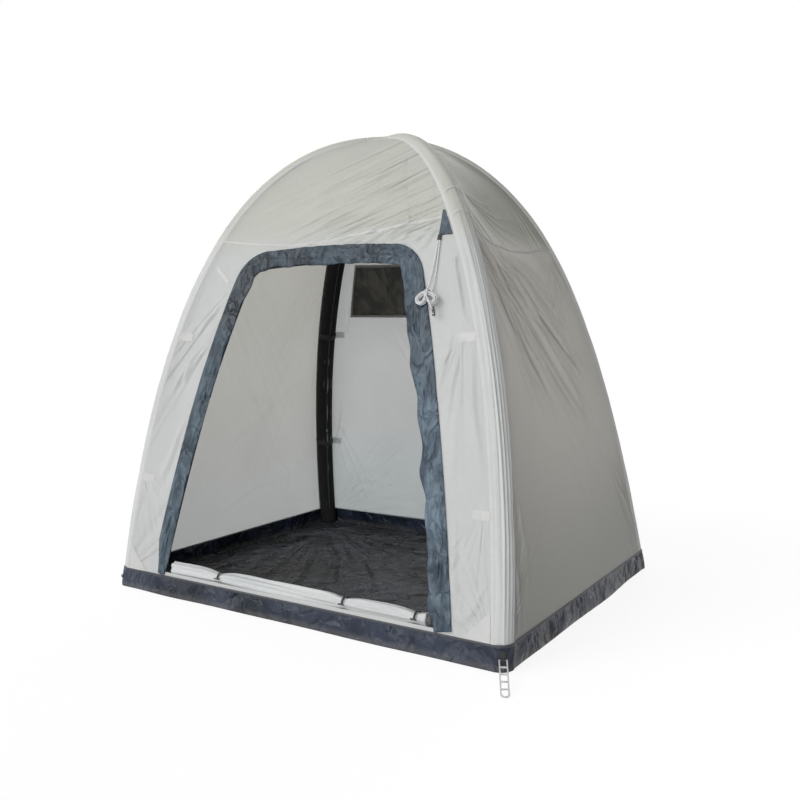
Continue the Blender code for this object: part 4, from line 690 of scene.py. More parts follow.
RIGHT_FOLDS = [
    ([(-0.480, 1.555), (-0.214, 1.390), (0.045, 1.135), (0.307, 0.786)], 0.013, 0.0075),
    ([(-0.420, 1.524), (-0.191, 1.325), (0.004, 1.155), (0.342, 0.741)], 0.011, 0.0060),
    ([(-0.103, 1.514), (0.056, 1.314), (0.257, 1.068), (0.377, 0.894)], 0.013, 0.0065),
    ([(0.006, 1.513), (0.170, 1.317), (0.340, 1.181)], 0.012, 0.0050),
    ([(-0.207, 1.523), (-0.091, 1.368), (0.114, 1.113)], 0.013, 0.0055),
    ([(0.071, 1.497), (0.180, 1.400), (0.282, 1.318)], 0.010, 0.0040),
    ([(0.287, 1.529), (0.320, 1.480), (0.357, 1.435)], 0.008, 0.0030),
    ([(-0.494, 1.529), (-0.421, 1.330), (-0.230, 1.119), (0.035, 0.830)], 0.014, 0.0045),
    ([(-0.300, 1.250), (-0.170, 1.080), (0.000, 0.900)], 0.016, 0.0030),
    ([(-0.350, 1.150), (-0.270, 1.000), (-0.120, 0.820)], 0.016, 0.0025),
    ([(-0.690, 1.100), (-0.760, 0.800), (-0.836, 0.380), (-0.850, 0.100)], 0.010, 0.0080),
    ([(-0.714, 0.913), (-0.788, 0.686), (-0.805, 0.407), (-0.800, 0.100)], 0.010, 0.0090),
    ([(-0.698, 0.793), (-0.741, 0.602), (-0.750, 0.393), (-0.740, 0.110)], 0.010, 0.0080),
    ([(-0.674, 0.709), (-0.683, 0.551), (-0.680, 0.375), (-0.665, 0.120)], 0.011, 0.0065),
    ([(-0.600, 0.600), (-0.590, 0.400), (-0.560, 0.200)], 0.016, 0.0030),
    ([(0.551, 0.547), (0.596, 0.379), (0.733, 0.130)], 0.012, 0.0050),
    ([(0.600, 0.454), (0.666, 0.313), (0.753, 0.150)], 0.010, 0.0045),
    ([(0.620, 0.900), (0.650, 0.600), (0.700, 0.350)], 0.012, 0.0035),
]
BACK_FOLDS = [
    ([(0.934, 0.157), (0.712, 0.270), (0.456, 0.265)], 0.016, 0.0060),
    ([(0.928, 0.110), (0.555, 0.181), (0.242, 0.171)], 0.014, 0.0050),
    ([(0.900, 0.230), (0.650, 0.330), (0.400, 0.330)], 0.018, 0.0040),
    ([(0.883, 0.406), (0.800, 0.600), (0.738, 0.784)], 0.010, 0.0050),
    ([(0.859, 0.438), (0.780, 0.550), (0.710, 0.655)], 0.010, 0.0045),
    ([(0.637, 1.141), (0.590, 1.300), (0.538, 1.476)], 0.012, 0.0030),
    ([(-0.500, 1.500), (-0.250, 1.150), (-0.100, 0.800)], 0.016, 0.0040),
    ([(-0.450, 1.400), (-0.350, 1.100), (-0.300, 0.700)], 0.016, 0.0035),
    ([(-0.780, 0.900), (-0.820, 0.500), (-0.850, 0.120)], 0.012, 0.0060),
    ([(-0.720, 0.750), (-0.740, 0.450), (-0.750, 0.130)], 0.012, 0.0050),
    ([(0.420, 1.780), (0.100, 1.690), (-0.200, 1.580)], 0.016, 0.0040),
    ([(-0.420, 1.760), (-0.100, 1.700), (0.150, 1.600)], 0.016, 0.0035),
]
LEFT_FOLDS = [
    ([(0.286, 0.158), (-0.123, 0.338), (-0.604, 0.422)], 0.020, 0.0045),
    ([(0.239, 0.538), (-0.298, 0.853), (-0.668, 1.024)], 0.022, 0.0045),
    ([(0.230, 1.273), (0.080, 1.370), (-0.075, 1.453)], 0.020, 0.0035),
    ([(0.019, 0.849), (0.140, 0.940), (0.264, 1.035)], 0.018, 0.0035),
    ([(0.450, 1.520), (0.200, 1.300), (0.000, 1.000)], 0.014, 0.0055),
    ([(0.480, 1.500), (0.300, 1.200), (0.150, 0.900)], 0.014, 0.0050),
    ([(-0.440, 1.520), (-0.200, 1.320), (0.050, 1.050)], 0.014, 0.0050),
    ([(0.720, 0.850), (0.760, 0.500), (0.780, 0.120)], 0.011, 0.0060),
    ([(-0.700, 0.800), (-0.740, 0.500), (-0.760, 0.120)], 0.012, 0.0060),
    ([(-0.640, 0.650), (-0.650, 0.400), (-0.660, 0.130)], 0.012, 0.0045),
]
WALL_FOLDS = {"front": FRONT_FOLDS, "right": RIGHT_FOLDS, "back": BACK_FOLDS, "left": LEFT_FOLDS}
FOLD_DEPTH = {"front": 1.7, "right": 2.6, "back": 1.2, "left": 0.9}
WALL_FANS = {
    "front": [((0.47, 1.66), 195, 40, 26, 0.9, 0.0030), ((0.70, 1.15), 215, 60, 9, 0.16, 0.0025),
              ((-0.70, 1.15), -40, 60, 9, 0.16, 0.0022), ((0.84, 0.52), 200, 60, 9, 0.16, 0.0022),
              ((-0.84, 0.52), -20, 60, 9, 0.16, 0.0022), ((-0.47, 1.62), -10, 30, 20, 0.5, 0.0018),
              ((0.93, 0.09), 140, 45, 10, 0.22, 0.0030), ((-0.93, 0.09), 40, 45, 10, 0.22, 0.0025)],
    "right": [((-0.56, 1.60), -42, 34, 34, 1.1, 0.0030), ((0.56, 1.58), 222, 30, 24, 0.7, 0.0022),
              ((-0.72, 0.09), 80, 30, 12, 0.5, 0.0030), ((0.74, 0.09), 110, 35, 12, 0.4, 0.0026),
              ((-0.30, 1.75), -20, 40, 16, 0.7, 0.0018)],
    "back": [((0.94, 0.10), 150, 50, 14, 0.5, 0.0035), ((-0.94, 0.10), 40, 45, 12, 0.4, 0.0030),
             ((0.50, 1.60), 220, 35, 22, 0.6, 0.0025), ((-0.50, 1.60), -40, 35, 22, 0.6, 0.0025)],
    "left": [((0.60, 1.56), 225, 34, 26, 0.9, 0.0028), ((-0.60, 1.56), -45, 34, 26, 0.9, 0.0028),
             ((0.76, 0.09), 110, 40, 12, 0.4, 0.0026), ((-0.76, 0.09), 70, 40, 12, 0.4, 0.0026)],
}


def folded(side, sideways, heights):
    """How far a wall's folds stand out at each of many places."""
    lift = crease_lift(sideways, heights, WALL_FOLDS[side])
    for centre, bearing, spread, lines, reach, tall in WALL_FANS[side]:
        lift += fan_lift(sideways, heights, centre, bearing, spread, lines, reach, tall)
    lift = FOLD_DEPTH[side] * lift + slack(sideways, heights, len(side) * 3.1, 0.32, 0.007)
    seam = np.clip((1 - np.abs(sideways) / half_width(side, heights)) / 0.05, 0.0, 1.0)
    foot = np.clip((heights - RIM_HEIGHT) / 0.05, 0.0, 1.0)
    top = np.clip((AXIS_HEIGHT - heights) / 0.08, 0.0, 1.0)
    return lift * seam * (0.15 + 0.85 * foot) * top


def on_wall(name, side, columns, rows, spot, close=False):
    """Mesh of cloth that lies on a wall and follows its folds: spot gives sideways, height and lift."""
    mesh = cloth_mesh(name, columns, rows, lambda across, up: Vector(spot(across, up)), close)
    flat = np.array([vert.co for vert in mesh.vertices], float)
    lifts = flat[:, 2] + folded(side, flat[:, 0], flat[:, 1])
    for vert, (sideways, height, _), lift in zip(mesh.vertices, flat, lifts):
        vert.co = wall_place(side, sideways, height, lift)
    mesh.update()
    return mesh


def wall_mesh(side, columns, rows):
    """Mesh of one wall with its folds, before anything is cut out of it."""
    mesh = cloth_mesh(side, columns, rows, lambda across, up: wall_point(side, 2 * across - 1, up * ROWS))
    base = np.array([vert.co for vert in mesh.vertices], float)
    count = columns + 1
    grid = base.reshape(-1, count, 3)
    ends = np.linalg.norm(grid[:, -1] - grid[:, 0], axis=1)
    sideways = (np.linspace(-1, 1, count)[None, :] * ends[:, None] / 2).ravel()
    heights = np.repeat(grid[:, 0, 2], count)
    lift = folded(side, sideways, heights)
    normals = np.array([WALL_ROWS[side][round(row * ROWS / rows)][2] for row in range(rows + 1)])
    moved = base + np.repeat(normals, count, 0) * lift[:, None]
    mesh.vertices.foreach_set("co", moved.astype(np.float32).ravel())
    mesh.update()
    return mesh, sideways, heights


def cut_outline(mesh, sideways, heights, outline, snap):
    """Take out the cloth inside an outline, with its edge moved onto the outline."""
    bm = bmesh.new()
    bm.from_mesh(mesh)
    bm.verts.ensure_lookup_table()
    line = np.array(outline, float)
    after = np.roll(line, -1, 0)
    spots = np.stack([sideways, heights], 1)
    inside = np.zeros(len(spots), bool)
    away = np.full(len(spots), 9.0)
    target = spots.copy()
    for (ax, az), (bx, bz) in zip(line, after):
        crossed = ((az > heights) != (bz > heights)) & (
            sideways < (bx - ax) * (heights - az) / (bz - az + 1e-12) + ax)
        inside ^= crossed
        run = np.array((bx - ax, bz - az))
        long = max(run @ run, 1e-12)
        share = np.clip(((spots - (ax, az)) @ run) / long, 0, 1)
        foot = np.array((ax, az)) + share[:, None] * run
        gap = np.linalg.norm(spots - foot, axis=1)
        closer = gap < away
        away = np.where(closer, gap, away)
        target[closer] = foot[closer]
    near = away < snap
    signed = np.where(inside, -away, away)
    signed[near] = 0.0
    frames = {}
    bm.verts.index_update()
    for index in np.nonzero(near)[0]:
        vert = bm.verts[index]
        loops = [edge.other_vert(vert) for edge in vert.link_edges]
        span = np.array([[sideways[near_by.index] - sideways[index], heights[near_by.index] - heights[index]]
                         for near_by in loops])
        lifted = np.array([near_by.co - vert.co for near_by in loops])
        flow, *_ = np.linalg.lstsq(span, lifted, rcond=None)
        frames[index] = Vector((target[index] - spots[index]) @ flow)
    for index, step in frames.items():
        bm.verts[index].co += step
    gone = [face for face in bm.faces
            if sum(signed[vert.index] for vert in face.verts) < 0]
    bmesh.ops.delete(bm, geom=gone, context="FACES")
    bm.to_mesh(mesh)
    bm.free()


CUT_SNAP = 0.003


def make_wall(side, finish, columns, rows, opening=None):
    """One wall with its folds, less its opening where it has one."""
    mesh, sideways, heights = wall_mesh(side, columns, rows)
    if opening:
        cut_outline(mesh, sideways, heights, opening, CUT_SNAP)
    wall = add_piece(side + "_wall_cloth", mesh, finish)
    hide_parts(side + "_wall")
    return wall


SIDEWAYS = {"front": Vector((1, 0, 0)), "right": Vector((0, 1, 0)), "back": Vector((-1, 0, 0)),
            "left": Vector((0, -1, 0))}
FINE_FANS = {
    "front": [(-2.60, 0.60, 22, 6, 0.62, 3.75, 80, 0.0190), (-2.60, 0.66, 20, 5, 0.66, 3.70, 170, 0.0080),
              (-0.60, 1.30, 24, 16, 0.35, 1.30, 22, 0.0040),
              (0.70, 1.19, 262, 24, 0.02, 0.60, 9, 0.0045), (0.86, 0.56, 256, 26, 0.02, 0.55, 9, 0.0045),
              (0.96, 0.06, 128, 36, 0.02, 0.55, 9, 0.0045), (-0.96, 0.06, 54, 36, 0.02, 0.55, 9, 0.0045),
              (-0.30, 1.52, 233, 12, 0.15, 1.15, 20, 0.0055),
              (-0.84, 0.56, 290, 26, 0.02, 0.55, 9, 0.0040)],
    "right": [(-0.86, 2.10, -49, 17, 0.22, 2.10, 30, 0.0120), (-0.60, 1.62, -45, 24, 0.02, 1.10, 16, 0.0070),
              (-0.60, 1.50, -98, 9, 0.22, 1.45, 44, 0.0120), (0.40, 0.85, -64, 15, 0.25, 0.95, 22, 0.0060),
              (0.20, 2.10, -70, 18, 0.25, 1.20, 18, 0.0060), (-0.76, 0.06, 60, 30, 0.02, 0.60, 12, 0.0050),
              (0.30, 1.70, -85, 20, 0.10, 1.50, 16, 0.0040)],
    "back": [(0.98, 0.05, 150, 30, 0.03, 0.90, 16, 0.0060), (0.55, 1.62, 235, 20, 0.20, 1.50, 22, 0.0030),
             (-0.98, 0.05, 45, 30, 0.03, 0.90, 16, 0.0050), (0.90, 0.80, 250, 16, 0.05, 0.80, 20, 0.0030)],
    "left": [(0.90, 1.95, 225, 16, 0.22, 2.00, 30, 0.0040), (-0.62, 1.90, -70, 18, 0.15, 1.90, 26, 0.0035),
             (-0.78, 0.05, 50, 32, 0.02, 0.80, 16, 0.0035), (0.78, 0.05, 125, 32, 0.02, 0.80, 16, 0.0035)],
}


def wall_cloth(side, glow, painted_light_tints):
    """Cloth of one wall, with the fine folds that fan out over it and its tints of painted light and shade
    from foot to top.
    """
    fans = []
    for sideways, height, bearing, wide, near, reach, count, tall in FINE_FANS[side]:
        centre = SIDEWAYS[side] * sideways + Vector((0, 0, height))
        turn = math.radians(bearing)
        along = SIDEWAYS[side] * math.cos(turn) + Vector((0, 0, math.sin(turn)))
        across = SIDEWAYS[side] * -math.sin(turn) + Vector((0, 0, math.cos(turn)))
        fans.append((centre, along, across, math.radians(wide), near, reach, count, tall))
    return woven(side + " wall cloth", CREAM, tuple(0.94 * c for c in CREAM), crinkle=0.0022,
                 crinkle_scale=7.0, streak=(1.0, 1.0, 0.5), roughness=(0.45, 0.6), glow=glow, fans=fans,
                 painted_light_tints=painted_light_tints, Specular_IOR_Level=0.3)


# Tints of painted light and shade, multiplied into the cloth by height: the right wall is darkened as painted
# shade, most at its top and foot, the tops of the front wall and corner strips are darkened a little as
# painted shade, and the bluish, greenish and warm casts paint the colour of the light on each wall.
BLUISH, GREENISH, WARM = (0.98, 1.0, 1.04), (0.99, 1.0, 0.96), (0.965, 0.93, 0.90)
SHADED, PAINTED_TOP_SHADE = (0.72, 0.715, 0.71), (0.57, 0.58, 0.53)
front_cloth = wall_cloth("front", 0.30, (BLUISH, BLUISH, BLUISH, (0.93, 0.94, 0.90)))
right_cloth = wall_cloth("right", 0.30, (SHADED, WARM, WARM, PAINTED_TOP_SHADE))
back_cloth = wall_cloth("back", 0.64, ((0.93, 1.0, 1.06), BLUISH, BLUISH, GREENISH))
left_cloth = wall_cloth("left", 0.50, (BLUISH, (1.0, 1.0, 1.0), (1.0, 0.99, 0.97), GREENISH))
strip_cloth = woven("corner strip cloth", CREAM, tuple(0.94 * c for c in CREAM), crinkle=0.0022,
                    crinkle_scale=9.0, streak=(1.0, 1.0, 0.25), roughness=(0.45, 0.6), glow=0.20,
                    painted_light_tints=(BLUISH, BLUISH, BLUISH, (0.90, 0.91, 0.87)), Specular_IOR_Level=0.3)

STRIP_PLEATS, PLEAT_RISE, PLEAT_WIDTH = (-0.22, 0.06, 0.36, 0.66), 0.0050, 0.085
STRAP_REACH, CALM_FROM, CALM_EASES = 0.05, 1.5, 0.3
for leg in LEGS:
    def strip_place(across, up, leg=leg):
        """A strip that wraps its leg, rippled, drawn in at the straps and pleated on the front right."""
        t = ROW_T[0] + (T_CROWN - ROW_T[0]) * up
        angle = SEAM_ANGLE * (2 * across - 1)
        height = leg_profile(t)[1]
        edge = math.cos(math.pi * (across - 0.5)) ** 0.6 if 0 < across < 1 else 0.0
        ripple = noise.noise(Vector((angle * 2.2, height * 5.0, LEGS[leg][0] * 2 + LEGS[leg][1])))
        pleat = noise.noise(Vector((angle * 7.0, height * 1.3, LEGS[leg][0] + 5 * LEGS[leg][1])))
        ring = sum(math.exp(-((height - at) / STRAP_REACH) ** 2) for at in STRAP_HEIGHTS)
        calm = 1 - min(max((height - CALM_FROM) / CALM_EASES, 0.0), 1.0)
        lift = edge * (0.0020 * ripple + 0.0030 * pleat * min(1.0, height) * calm - 0.0012 * ring)
        if leg == "front_right":
            strong = min(1.0, max(0.0, (1.45 - height) / 0.5)) * min(1.0, height / 0.4)
            for at in STRIP_PLEATS:
                beside = angle - at - 0.05 * math.sin(4 * height + at)
                lift += PLEAT_RISE * strong * math.exp(-(beside / PLEAT_WIDTH) ** 2)
        return leg_point(leg, t, angle, SKIN_R + lift)

    strip = add_piece("corner_strip_cloth_" + leg, cloth_mesh("strip", 56, 240, strip_place), strip_cloth)
    thicken(strip, CLOTH_T)
    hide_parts("corner_strip_" + leg)

# Front wall: the same cloth with the doorway cut out of it, wide at the sill and narrower at its
# rounded head. The storm flap is sewn round the cut outside, and the zip inside.
DOOR_CUT = 0.006
SILL_HEIGHT, DOOR_HEAD, DOOR_CORNER_R, DOOR_CROWN = 0.105, 1.46, 0.10, 0.015
DOOR_SHARE_SILL, DOOR_SHARE_HEAD = 0.755, 0.60


def jamb(height):
    """Distance from the wall's middle to the doorway's edge at a height."""
    drop = (DOOR_SHARE_SILL - DOOR_SHARE_HEAD) / (DOOR_HEAD - SILL_HEIGHT)
    return (DOOR_SHARE_SILL - drop * (height - SILL_HEIGHT)) * half_width("front", height)


def door_line(offset, low, steps=70):
    """Points round the doorway from its left foot to its right foot, offset outwards."""
    step = 0.01
    turn_height = DOOR_HEAD - DOOR_CORNER_R
    slope = math.atan2(jamb(turn_height - step) - jamb(turn_height + step), 2 * step)
    turn_height = DOOR_HEAD - DOOR_CORNER_R * (1 - math.sin(slope))
    right = []
    for index in range(steps):
        height = low + (turn_height - low) * index / steps
        lean = math.atan2(jamb(height - step) - jamb(height + step), 2 * step)
        right.append((jamb(height) + offset * math.cos(lean), height + offset * math.sin(lean)))
    centre_x = jamb(turn_height) - DOOR_CORNER_R * math.cos(slope)
    centre_z = turn_height - DOOR_CORNER_R * math.sin(slope)
    for index in range(13):
        angle = slope + (math.pi / 2 - slope) * index / 12
        reach = DOOR_CORNER_R + offset
        right.append((centre_x + reach * math.cos(angle), centre_z + reach * math.sin(angle)))
    for index in range(1, 26):
        x = centre_x * (1 - index / 25)
        crown = DOOR_CROWN * (1 - (x / centre_x) ** 2)
        right.append((x, centre_z + DOOR_CORNER_R + offset + crown))
    left = [(-x, z) for x, z in right]
    return left + right[-2::-1]


front = make_wall("front", front_cloth, 340, 300, door_line(DOOR_CUT, SILL_HEIGHT))

# Side walls: whole panels of the same cloth without an opening. Each is sewn to the two corner
# strips beside it.
right = make_wall("right", right_cloth, 290, 330)
left = make_wall("left", left_cloth, 290, 330)

# Back wall: the same cloth with one wide window cut out of it high up. Daylight comes through it
# into the cabin.
WINDOW_SHARE, WINDOW_LOW, WINDOW_HIGH = 0.81, 1.275, 1.51


def window_corners(grow):
    """Window outline, sideways and up the back wall."""
    corners = []
    for sign, height in ((-1, WINDOW_LOW), (1, WINDOW_LOW), (1, WINDOW_HIGH), (-1, WINDOW_HIGH)):
        level = height + (grow if height == WINDOW_HIGH else -grow)
        corners.append((sign * (WINDOW_SHARE * half_width("back", height) + grow), level))
    return corners


back = make_wall("back", back_cloth, 300, 280, window_corners(0.0))

# Crown patch: one piece of the strips' cloth over the crossing of the legs. It is domed a little
# and sewn to the upper ends of the strips and walls.
CROWN_RISE = 0.002


def crown_ring(steps):
    """Edge of the skin where strips and walls stop short of the crown."""
    loop = []
    for leg, side in zip(LEGS, WALLS):
        loop += [leg_point(leg, T_CROWN, SEAM_ANGLE * (2 * step / steps - 1), SKIN_R)
                 for step in range(steps)]
        loop += [wall_point(side, 2 * step / steps - 1, ROWS) for step in range(steps)]
    return loop


ring = crown_ring(12)
peak = AXIS_HEIGHT + SKIN_R + CROWN_RISE


def crown_place(across, up):
    """The patch as rings round its peak; up runs from its edge to the peak."""
    spot = across * len(ring)
    first = ring[int(spot) % len(ring)]
    edge = first.lerp(ring[(int(spot) + 1) % len(ring)], spot - int(spot))
    share = max(1 - up, 0.0)
    ripple = 0.0008 * noise.noise(Vector((edge.x * 20, edge.y * 20, up * 3))) * math.sin(math.pi * up)
    return Vector((edge.x * share, edge.y * share, peak - (peak - edge.z) * share * share + ripple))


crown = add_piece("crown_patch_cloth", cloth_mesh("crown", 96, 16, crown_place, close=True),
                  strip_cloth)
thicken(crown, CLOTH_T)
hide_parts("crown_patch")

# Seam tapes: each seam is lapped, stitched twice and taped, so it stands a little proud and shows
# paler. They run along both edges of every corner strip, across the strips near their upper ends,
# and level round the shoulders of the walls.
SEAM_W, SEAM_RISE, SEAM_STANDS = 0.014, 0.0010, 0.0006
CROSS_W, CROSS_RISE, CROSS_STANDS, CROSS_BOW = 0.012, 0.0008, 0.0014, 0.012
CROSS_LEVELS, CROSS_STEPS = {"lower": 1.600, "upper": 1.695}, 40
LEVEL_W, LEVEL_RISE, LEVEL_STANDS = 0.009, 0.0008, 0.0010
LAP_SHARE, STITCH = 0.992, 0.003
tape = woven("seam tape", (0.64, 0.645, 0.64), (0.61, 0.61, 0.60), crinkle=0.0012, crinkle_scale=30.0,
             roughness=(0.42, 0.5), glow=0.24)
stitches = tape.bands(tape.along(), STITCH, "Y")
tape.wear(normal=tape.bump(stitches, 0.0004, 0.5))


def band(name, route, width, lift, finish, parent):
    """Flat tape along a route of (point, sideways direction, outward direction)."""
    count = len(route) - 1

    def place(across, up):
        spot, beside, out = route[round(up * count)]
        arch = math.cos(math.pi * (across - 0.5))
        return spot + beside * (width * (across - 0.5)) + out * (lift * arch)

    return attach(add_piece(name, cloth_mesh(name, 4, count, place), finish), parent)


for leg in LEGS:
    strip = bpy.data.objects["corner_strip_cloth_" + leg]
    for sign, edge_name in ((-1, "first"), (1, "second")):
        line = SEAM_LINE[leg, sign]
        route = []
        for row, t in enumerate(ROW_T):
            middle = leg_point(leg, t, 0.0, 0.0)
            out = (line[row] - middle).normalized()
            ahead = (line[min(row + 1, ROWS)] - line[max(row - 1, 0)]).normalized()
            route.append((line[row] + out * SEAM_STANDS, out.cross(ahead) * -1, out))
        band("seam_%s_%s" % (leg, edge_name), route, SEAM_W, SEAM_RISE, tape, strip)
    for label, level in CROSS_LEVELS.items():
        if label == "upper" and leg != "front_right":
            continue
        route = []
        for step in range(CROSS_STEPS + 1):
            turn = SEAM_ANGLE * (2 * step / CROSS_STEPS - 1)
            height = level + CROSS_BOW * math.cos(turn * 1.5)
            spot = leg_spot(leg, height, turn, SKIN_R + CROSS_STANDS)
            out = (spot - leg_spot(leg, height, turn, 0.0)).normalized()
            route.append((spot, (leg_spot(leg, height + 0.01, turn, SKIN_R) - spot).normalized(), out))
        band("strip_seam_%s_%s" % (leg, label), route, CROSS_W, CROSS_RISE, tape, strip)

# The right wall's shoulder seam gets dark tape instead: painted shadow along the crease there.
shaded_seam_tape = woven("shaded seam tape", (0.34, 0.34, 0.33), (0.30, 0.30, 0.29), crinkle=0.0012,
                  crinkle_scale=30.0)
SHOULDER = {
    "front": [(-1.0, 1.575), (-0.6, 1.557), (-0.32, 1.551), (0.0, 1.566), (0.14, 1.579), (0.5, 1.598),
              (0.745, 1.609), (1.0, 1.622)],
    "right": [(-1.0, 1.572), (-0.75, 1.553), (-0.5, 1.540), (-0.05, 1.528), (0.4, 1.535), (1.0, 1.560)],
    "back": [(-1.0, 1.560), (-0.5, 1.543), (0.0, 1.540), (0.5, 1.543), (1.0, 1.560)],
    "left": [(-1.0, 1.560), (-0.5, 1.535), (0.0, 1.520), (0.5, 1.535), (1.0, 1.575)],
}
walls = {"front": front, "right": right, "back": back, "left": left}
for side, knots in SHOULDER.items():
    def seam_spot(across, up, side=side, knots=knots):
        """The level seam, which follows its knots of width share and height."""
        shares, levels = zip(*knots)
        share = LAP_SHARE * (2 * across - 1)
        height = float(np.interp(share, shares, levels)) + LEVEL_W * (up - 0.5)
        return share * half_width(side, height), height, LEVEL_STANDS + LEVEL_RISE * math.sin(math.pi * up)

    attach(add_piece("shoulder_seam_" + side, on_wall("seam", side, 200, 4, seam_spot),
                     shaded_seam_tape if side == "right" else tape), walls[side])

# Reinforcing patches: a rectangle of doubled cloth sewn on beside each strip where a strap is
# fixed inside, a short bar of tape beside the doorway's upper left corner, and a wedge at each foot.
PATCH_STANDS, PATCH_PUCKER = 0.0016, 0.0006
PATCH_LONG, PATCH_HALF, WEDGE_LONG, WEDGE_FOOT = 0.070, 0.018, 0.11, 0.092


def patch(name, side, corners):
    """Doubled cloth on a wall, from its corners sideways and up, the lower left one first."""
    def spot(across, up):
        low = Vector(corners[0]).lerp(Vector(corners[1]), across)
        high = Vector(corners[3]).lerp(Vector(corners[2]), across)
        sideways, height = low.lerp(high, up)
        pucker = PATCH_PUCKER * noise.noise(Vector((sideways * 60, height * 60, 1.0)))
        return sideways, height, PATCH_STANDS + pucker

    finish = back_cloth if side == "back" else tape
    attach(add_piece(name, on_wall(name, side, 20, 12, spot), finish), walls[side])


def at_hand(corners, sign):
    """A patch's corners on the right of its wall, or mirrored onto the left."""
    placed = [(sign * across, height) for across, height in corners]
    return placed if sign > 0 else [placed[1], placed[0], placed[3], placed[2]]


HANDS = {"left": -1, "right": 1}
for side in ("front", "back"):
    for label, height in zip(("lower", "upper"), STRAP_HEIGHTS):
        outer = LAP_SHARE * half_width(side, height)
        inner = outer - PATCH_LONG
        corners = [(inner, height - PATCH_HALF), (outer, height - PATCH_HALF + 0.002),
                   (outer, height + PATCH_HALF), (inner, height + PATCH_HALF)]
        for hand, sign in HANDS.items():
            patch("strap_patch_%s_%s_%s" % (side, label, hand), side, at_hand(corners, sign))
patch("door_corner_tape", "front", [(-0.578, 1.452), (-0.505, 1.386), (-0.492, 1.398), (-0.565, 1.464)])
outer = LAP_SHARE * half_width("front", 0.10)
wedge = [(outer - WEDGE_LONG, WEDGE_FOOT), (outer, WEDGE_FOOT), (0.985 * outer, 0.20),
         (outer - 0.10, 0.105)]
for hand, sign in HANDS.items():
    patch("foot_wedge_" + hand, "front", at_hand(wedge, sign))

# Tub floor: heavy dark coated sheet that turns up into a rim and is sewn to the skin. It creases
# into its corners and shines on its folds.
FLOOR_T = 0.0012


def foot_ring(steps, t, drop):
    """Outline of the tub at a level: round each leg's foot, straight between them."""
    loop = []
    legs = list(LEGS)
    for index, leg in enumerate(legs):
        bend = [leg_point(leg, t, SEAM_ANGLE * (2 * step / 8 - 1), TUB_R) for step in range(9)]
        after = leg_point(legs[(index + 1) % 4], t, -SEAM_ANGLE, TUB_R)
        loop += bend[:-1]
        loop += [bend[-1].lerp(after, step / steps) for step in range(steps)]
    for point in loop:
        point.z -= drop
    return loop


STRAIGHT = 92
low_ring = foot_ring(STRAIGHT, 0.0, 0.0)
high_ring = foot_ring(STRAIGHT, T_RIM, 0.0002)
AROUND = len(low_ring)
RIM_SHARE, RIB_PERIOD = 0.16, 0.0020


def crinkle(x, y, z, size):
    """Sharp-edged creases of stiff coated cloth, from 0 to 1."""
    first = 1 - abs(noise.noise(Vector((x / size, y / size, z / size)))) * 2.2
    second = 1 - abs(noise.noise(Vector((x / size * 2.1 + 7, y / size * 2.1, z / size * 2.1)))) * 2.2
    return max(0.0, first) ** 3 * 0.65 + max(0.0, second) ** 3 * 0.35


def tub_place(across, up):
    """The sheet from its upper edge, down the rim and in to the middle of the floor."""
    index = round(across * AROUND) % AROUND
    low, high = low_ring[index], high_ring[index]
    if up <= RIM_SHARE:
        share = 1 - up / RIM_SHARE
        spot = low.lerp(high, share)
        away = Vector((low.x, low.y, 0.0)).normalized()
        bulge = math.sin(math.pi * share) ** 0.8
        near_leg = min(abs(index - corner) for corner in range(0, AROUND + 1, AROUND // 4))
        loose = min(1.0, max(0.0, (near_leg - 7) / 14))
        wave = noise.noise(Vector((spot.x * 3.2, spot.y * 3.2, spot.z * 8)))
        sag = noise.noise(Vector((spot.x * 2.6 + 3, spot.y * 2.6, 0.4))) + 0.2
        crease = crinkle(spot.x, spot.y, spot.z * 1.6, 0.10)
        out = bulge * (0.002 + loose * (0.009 * wave + 0.007 * (crease - 0.3)))
        return spot + away * (out + 0.014 * loose * sag * (1 - share) ** 2)
    inward = (up - RIM_SHARE) / (1 - RIM_SHARE)
    share = 1 - inward
    spot = Vector((low.x * share, low.y * share, FLOOR_T))
    edge = min(1.0, inward / 0.05)
    corner_fold = 0.0
    for leg in LEGS:
        foot = leg_point(leg, 0.0, 0.0, 0.0)
        dx, dy = spot.x - foot.x, spot.y - foot.y
        far = math.hypot(dx, dy)
        turn = math.atan2(dy, dx) * 5 + far * 2.0
        corner_fold += math.exp(-far / 0.55) * max(0.0, math.sin(turn)) ** 3 * min(1.0, far / 0.12)
    swell = noise.noise(Vector((spot.x * 4.0, spot.y * 4.0, 0.3))) + 1
    spot.z += edge * (0.015 * corner_fold + 0.0045 * swell + 0.0008 * crinkle(spot.x, spot.y, 3.3, 0.08))
    return spot


tub_cloth = Finish("dark coated groundsheet", roughness=0.35, Specular_IOR_Level=0.24)
spot = tub_cloth.place()
fine = tub_cloth.speckle(spot, 12.0, 3.0, 0.7, 0.5)
broad = tub_cloth.speckle(spot, 3.2, 2.0, 0.6, 0.45)
creased = tub_cloth.cracks(tub_cloth.mix(0.35, spot, tub_cloth.speckle(spot, 5.0, 3.0), "ADD"), 9.0)
ribs = (tub_cloth.bands(tub_cloth.along(), RIB_PERIOD, "X")
        * tub_cloth.bands(tub_cloth.along(), RIB_PERIOD, "Y"))
rim_mask = tub_cloth.ramp(tub_cloth.split(spot, "Z"), (0.012, 0.0), (0.035, 1.0))
cloudy = tub_cloth.ramp(broad * 0.85 + fine * 0.15, (0.35, 0.0), (0.65, 1.0))
dark = tub_cloth.mix(cloudy, (0.042, 0.041, 0.041), (0.064, 0.068, 0.082))
blue = tub_cloth.mix(cloudy, (0.008, 0.012, 0.021), (0.026, 0.034, 0.056))
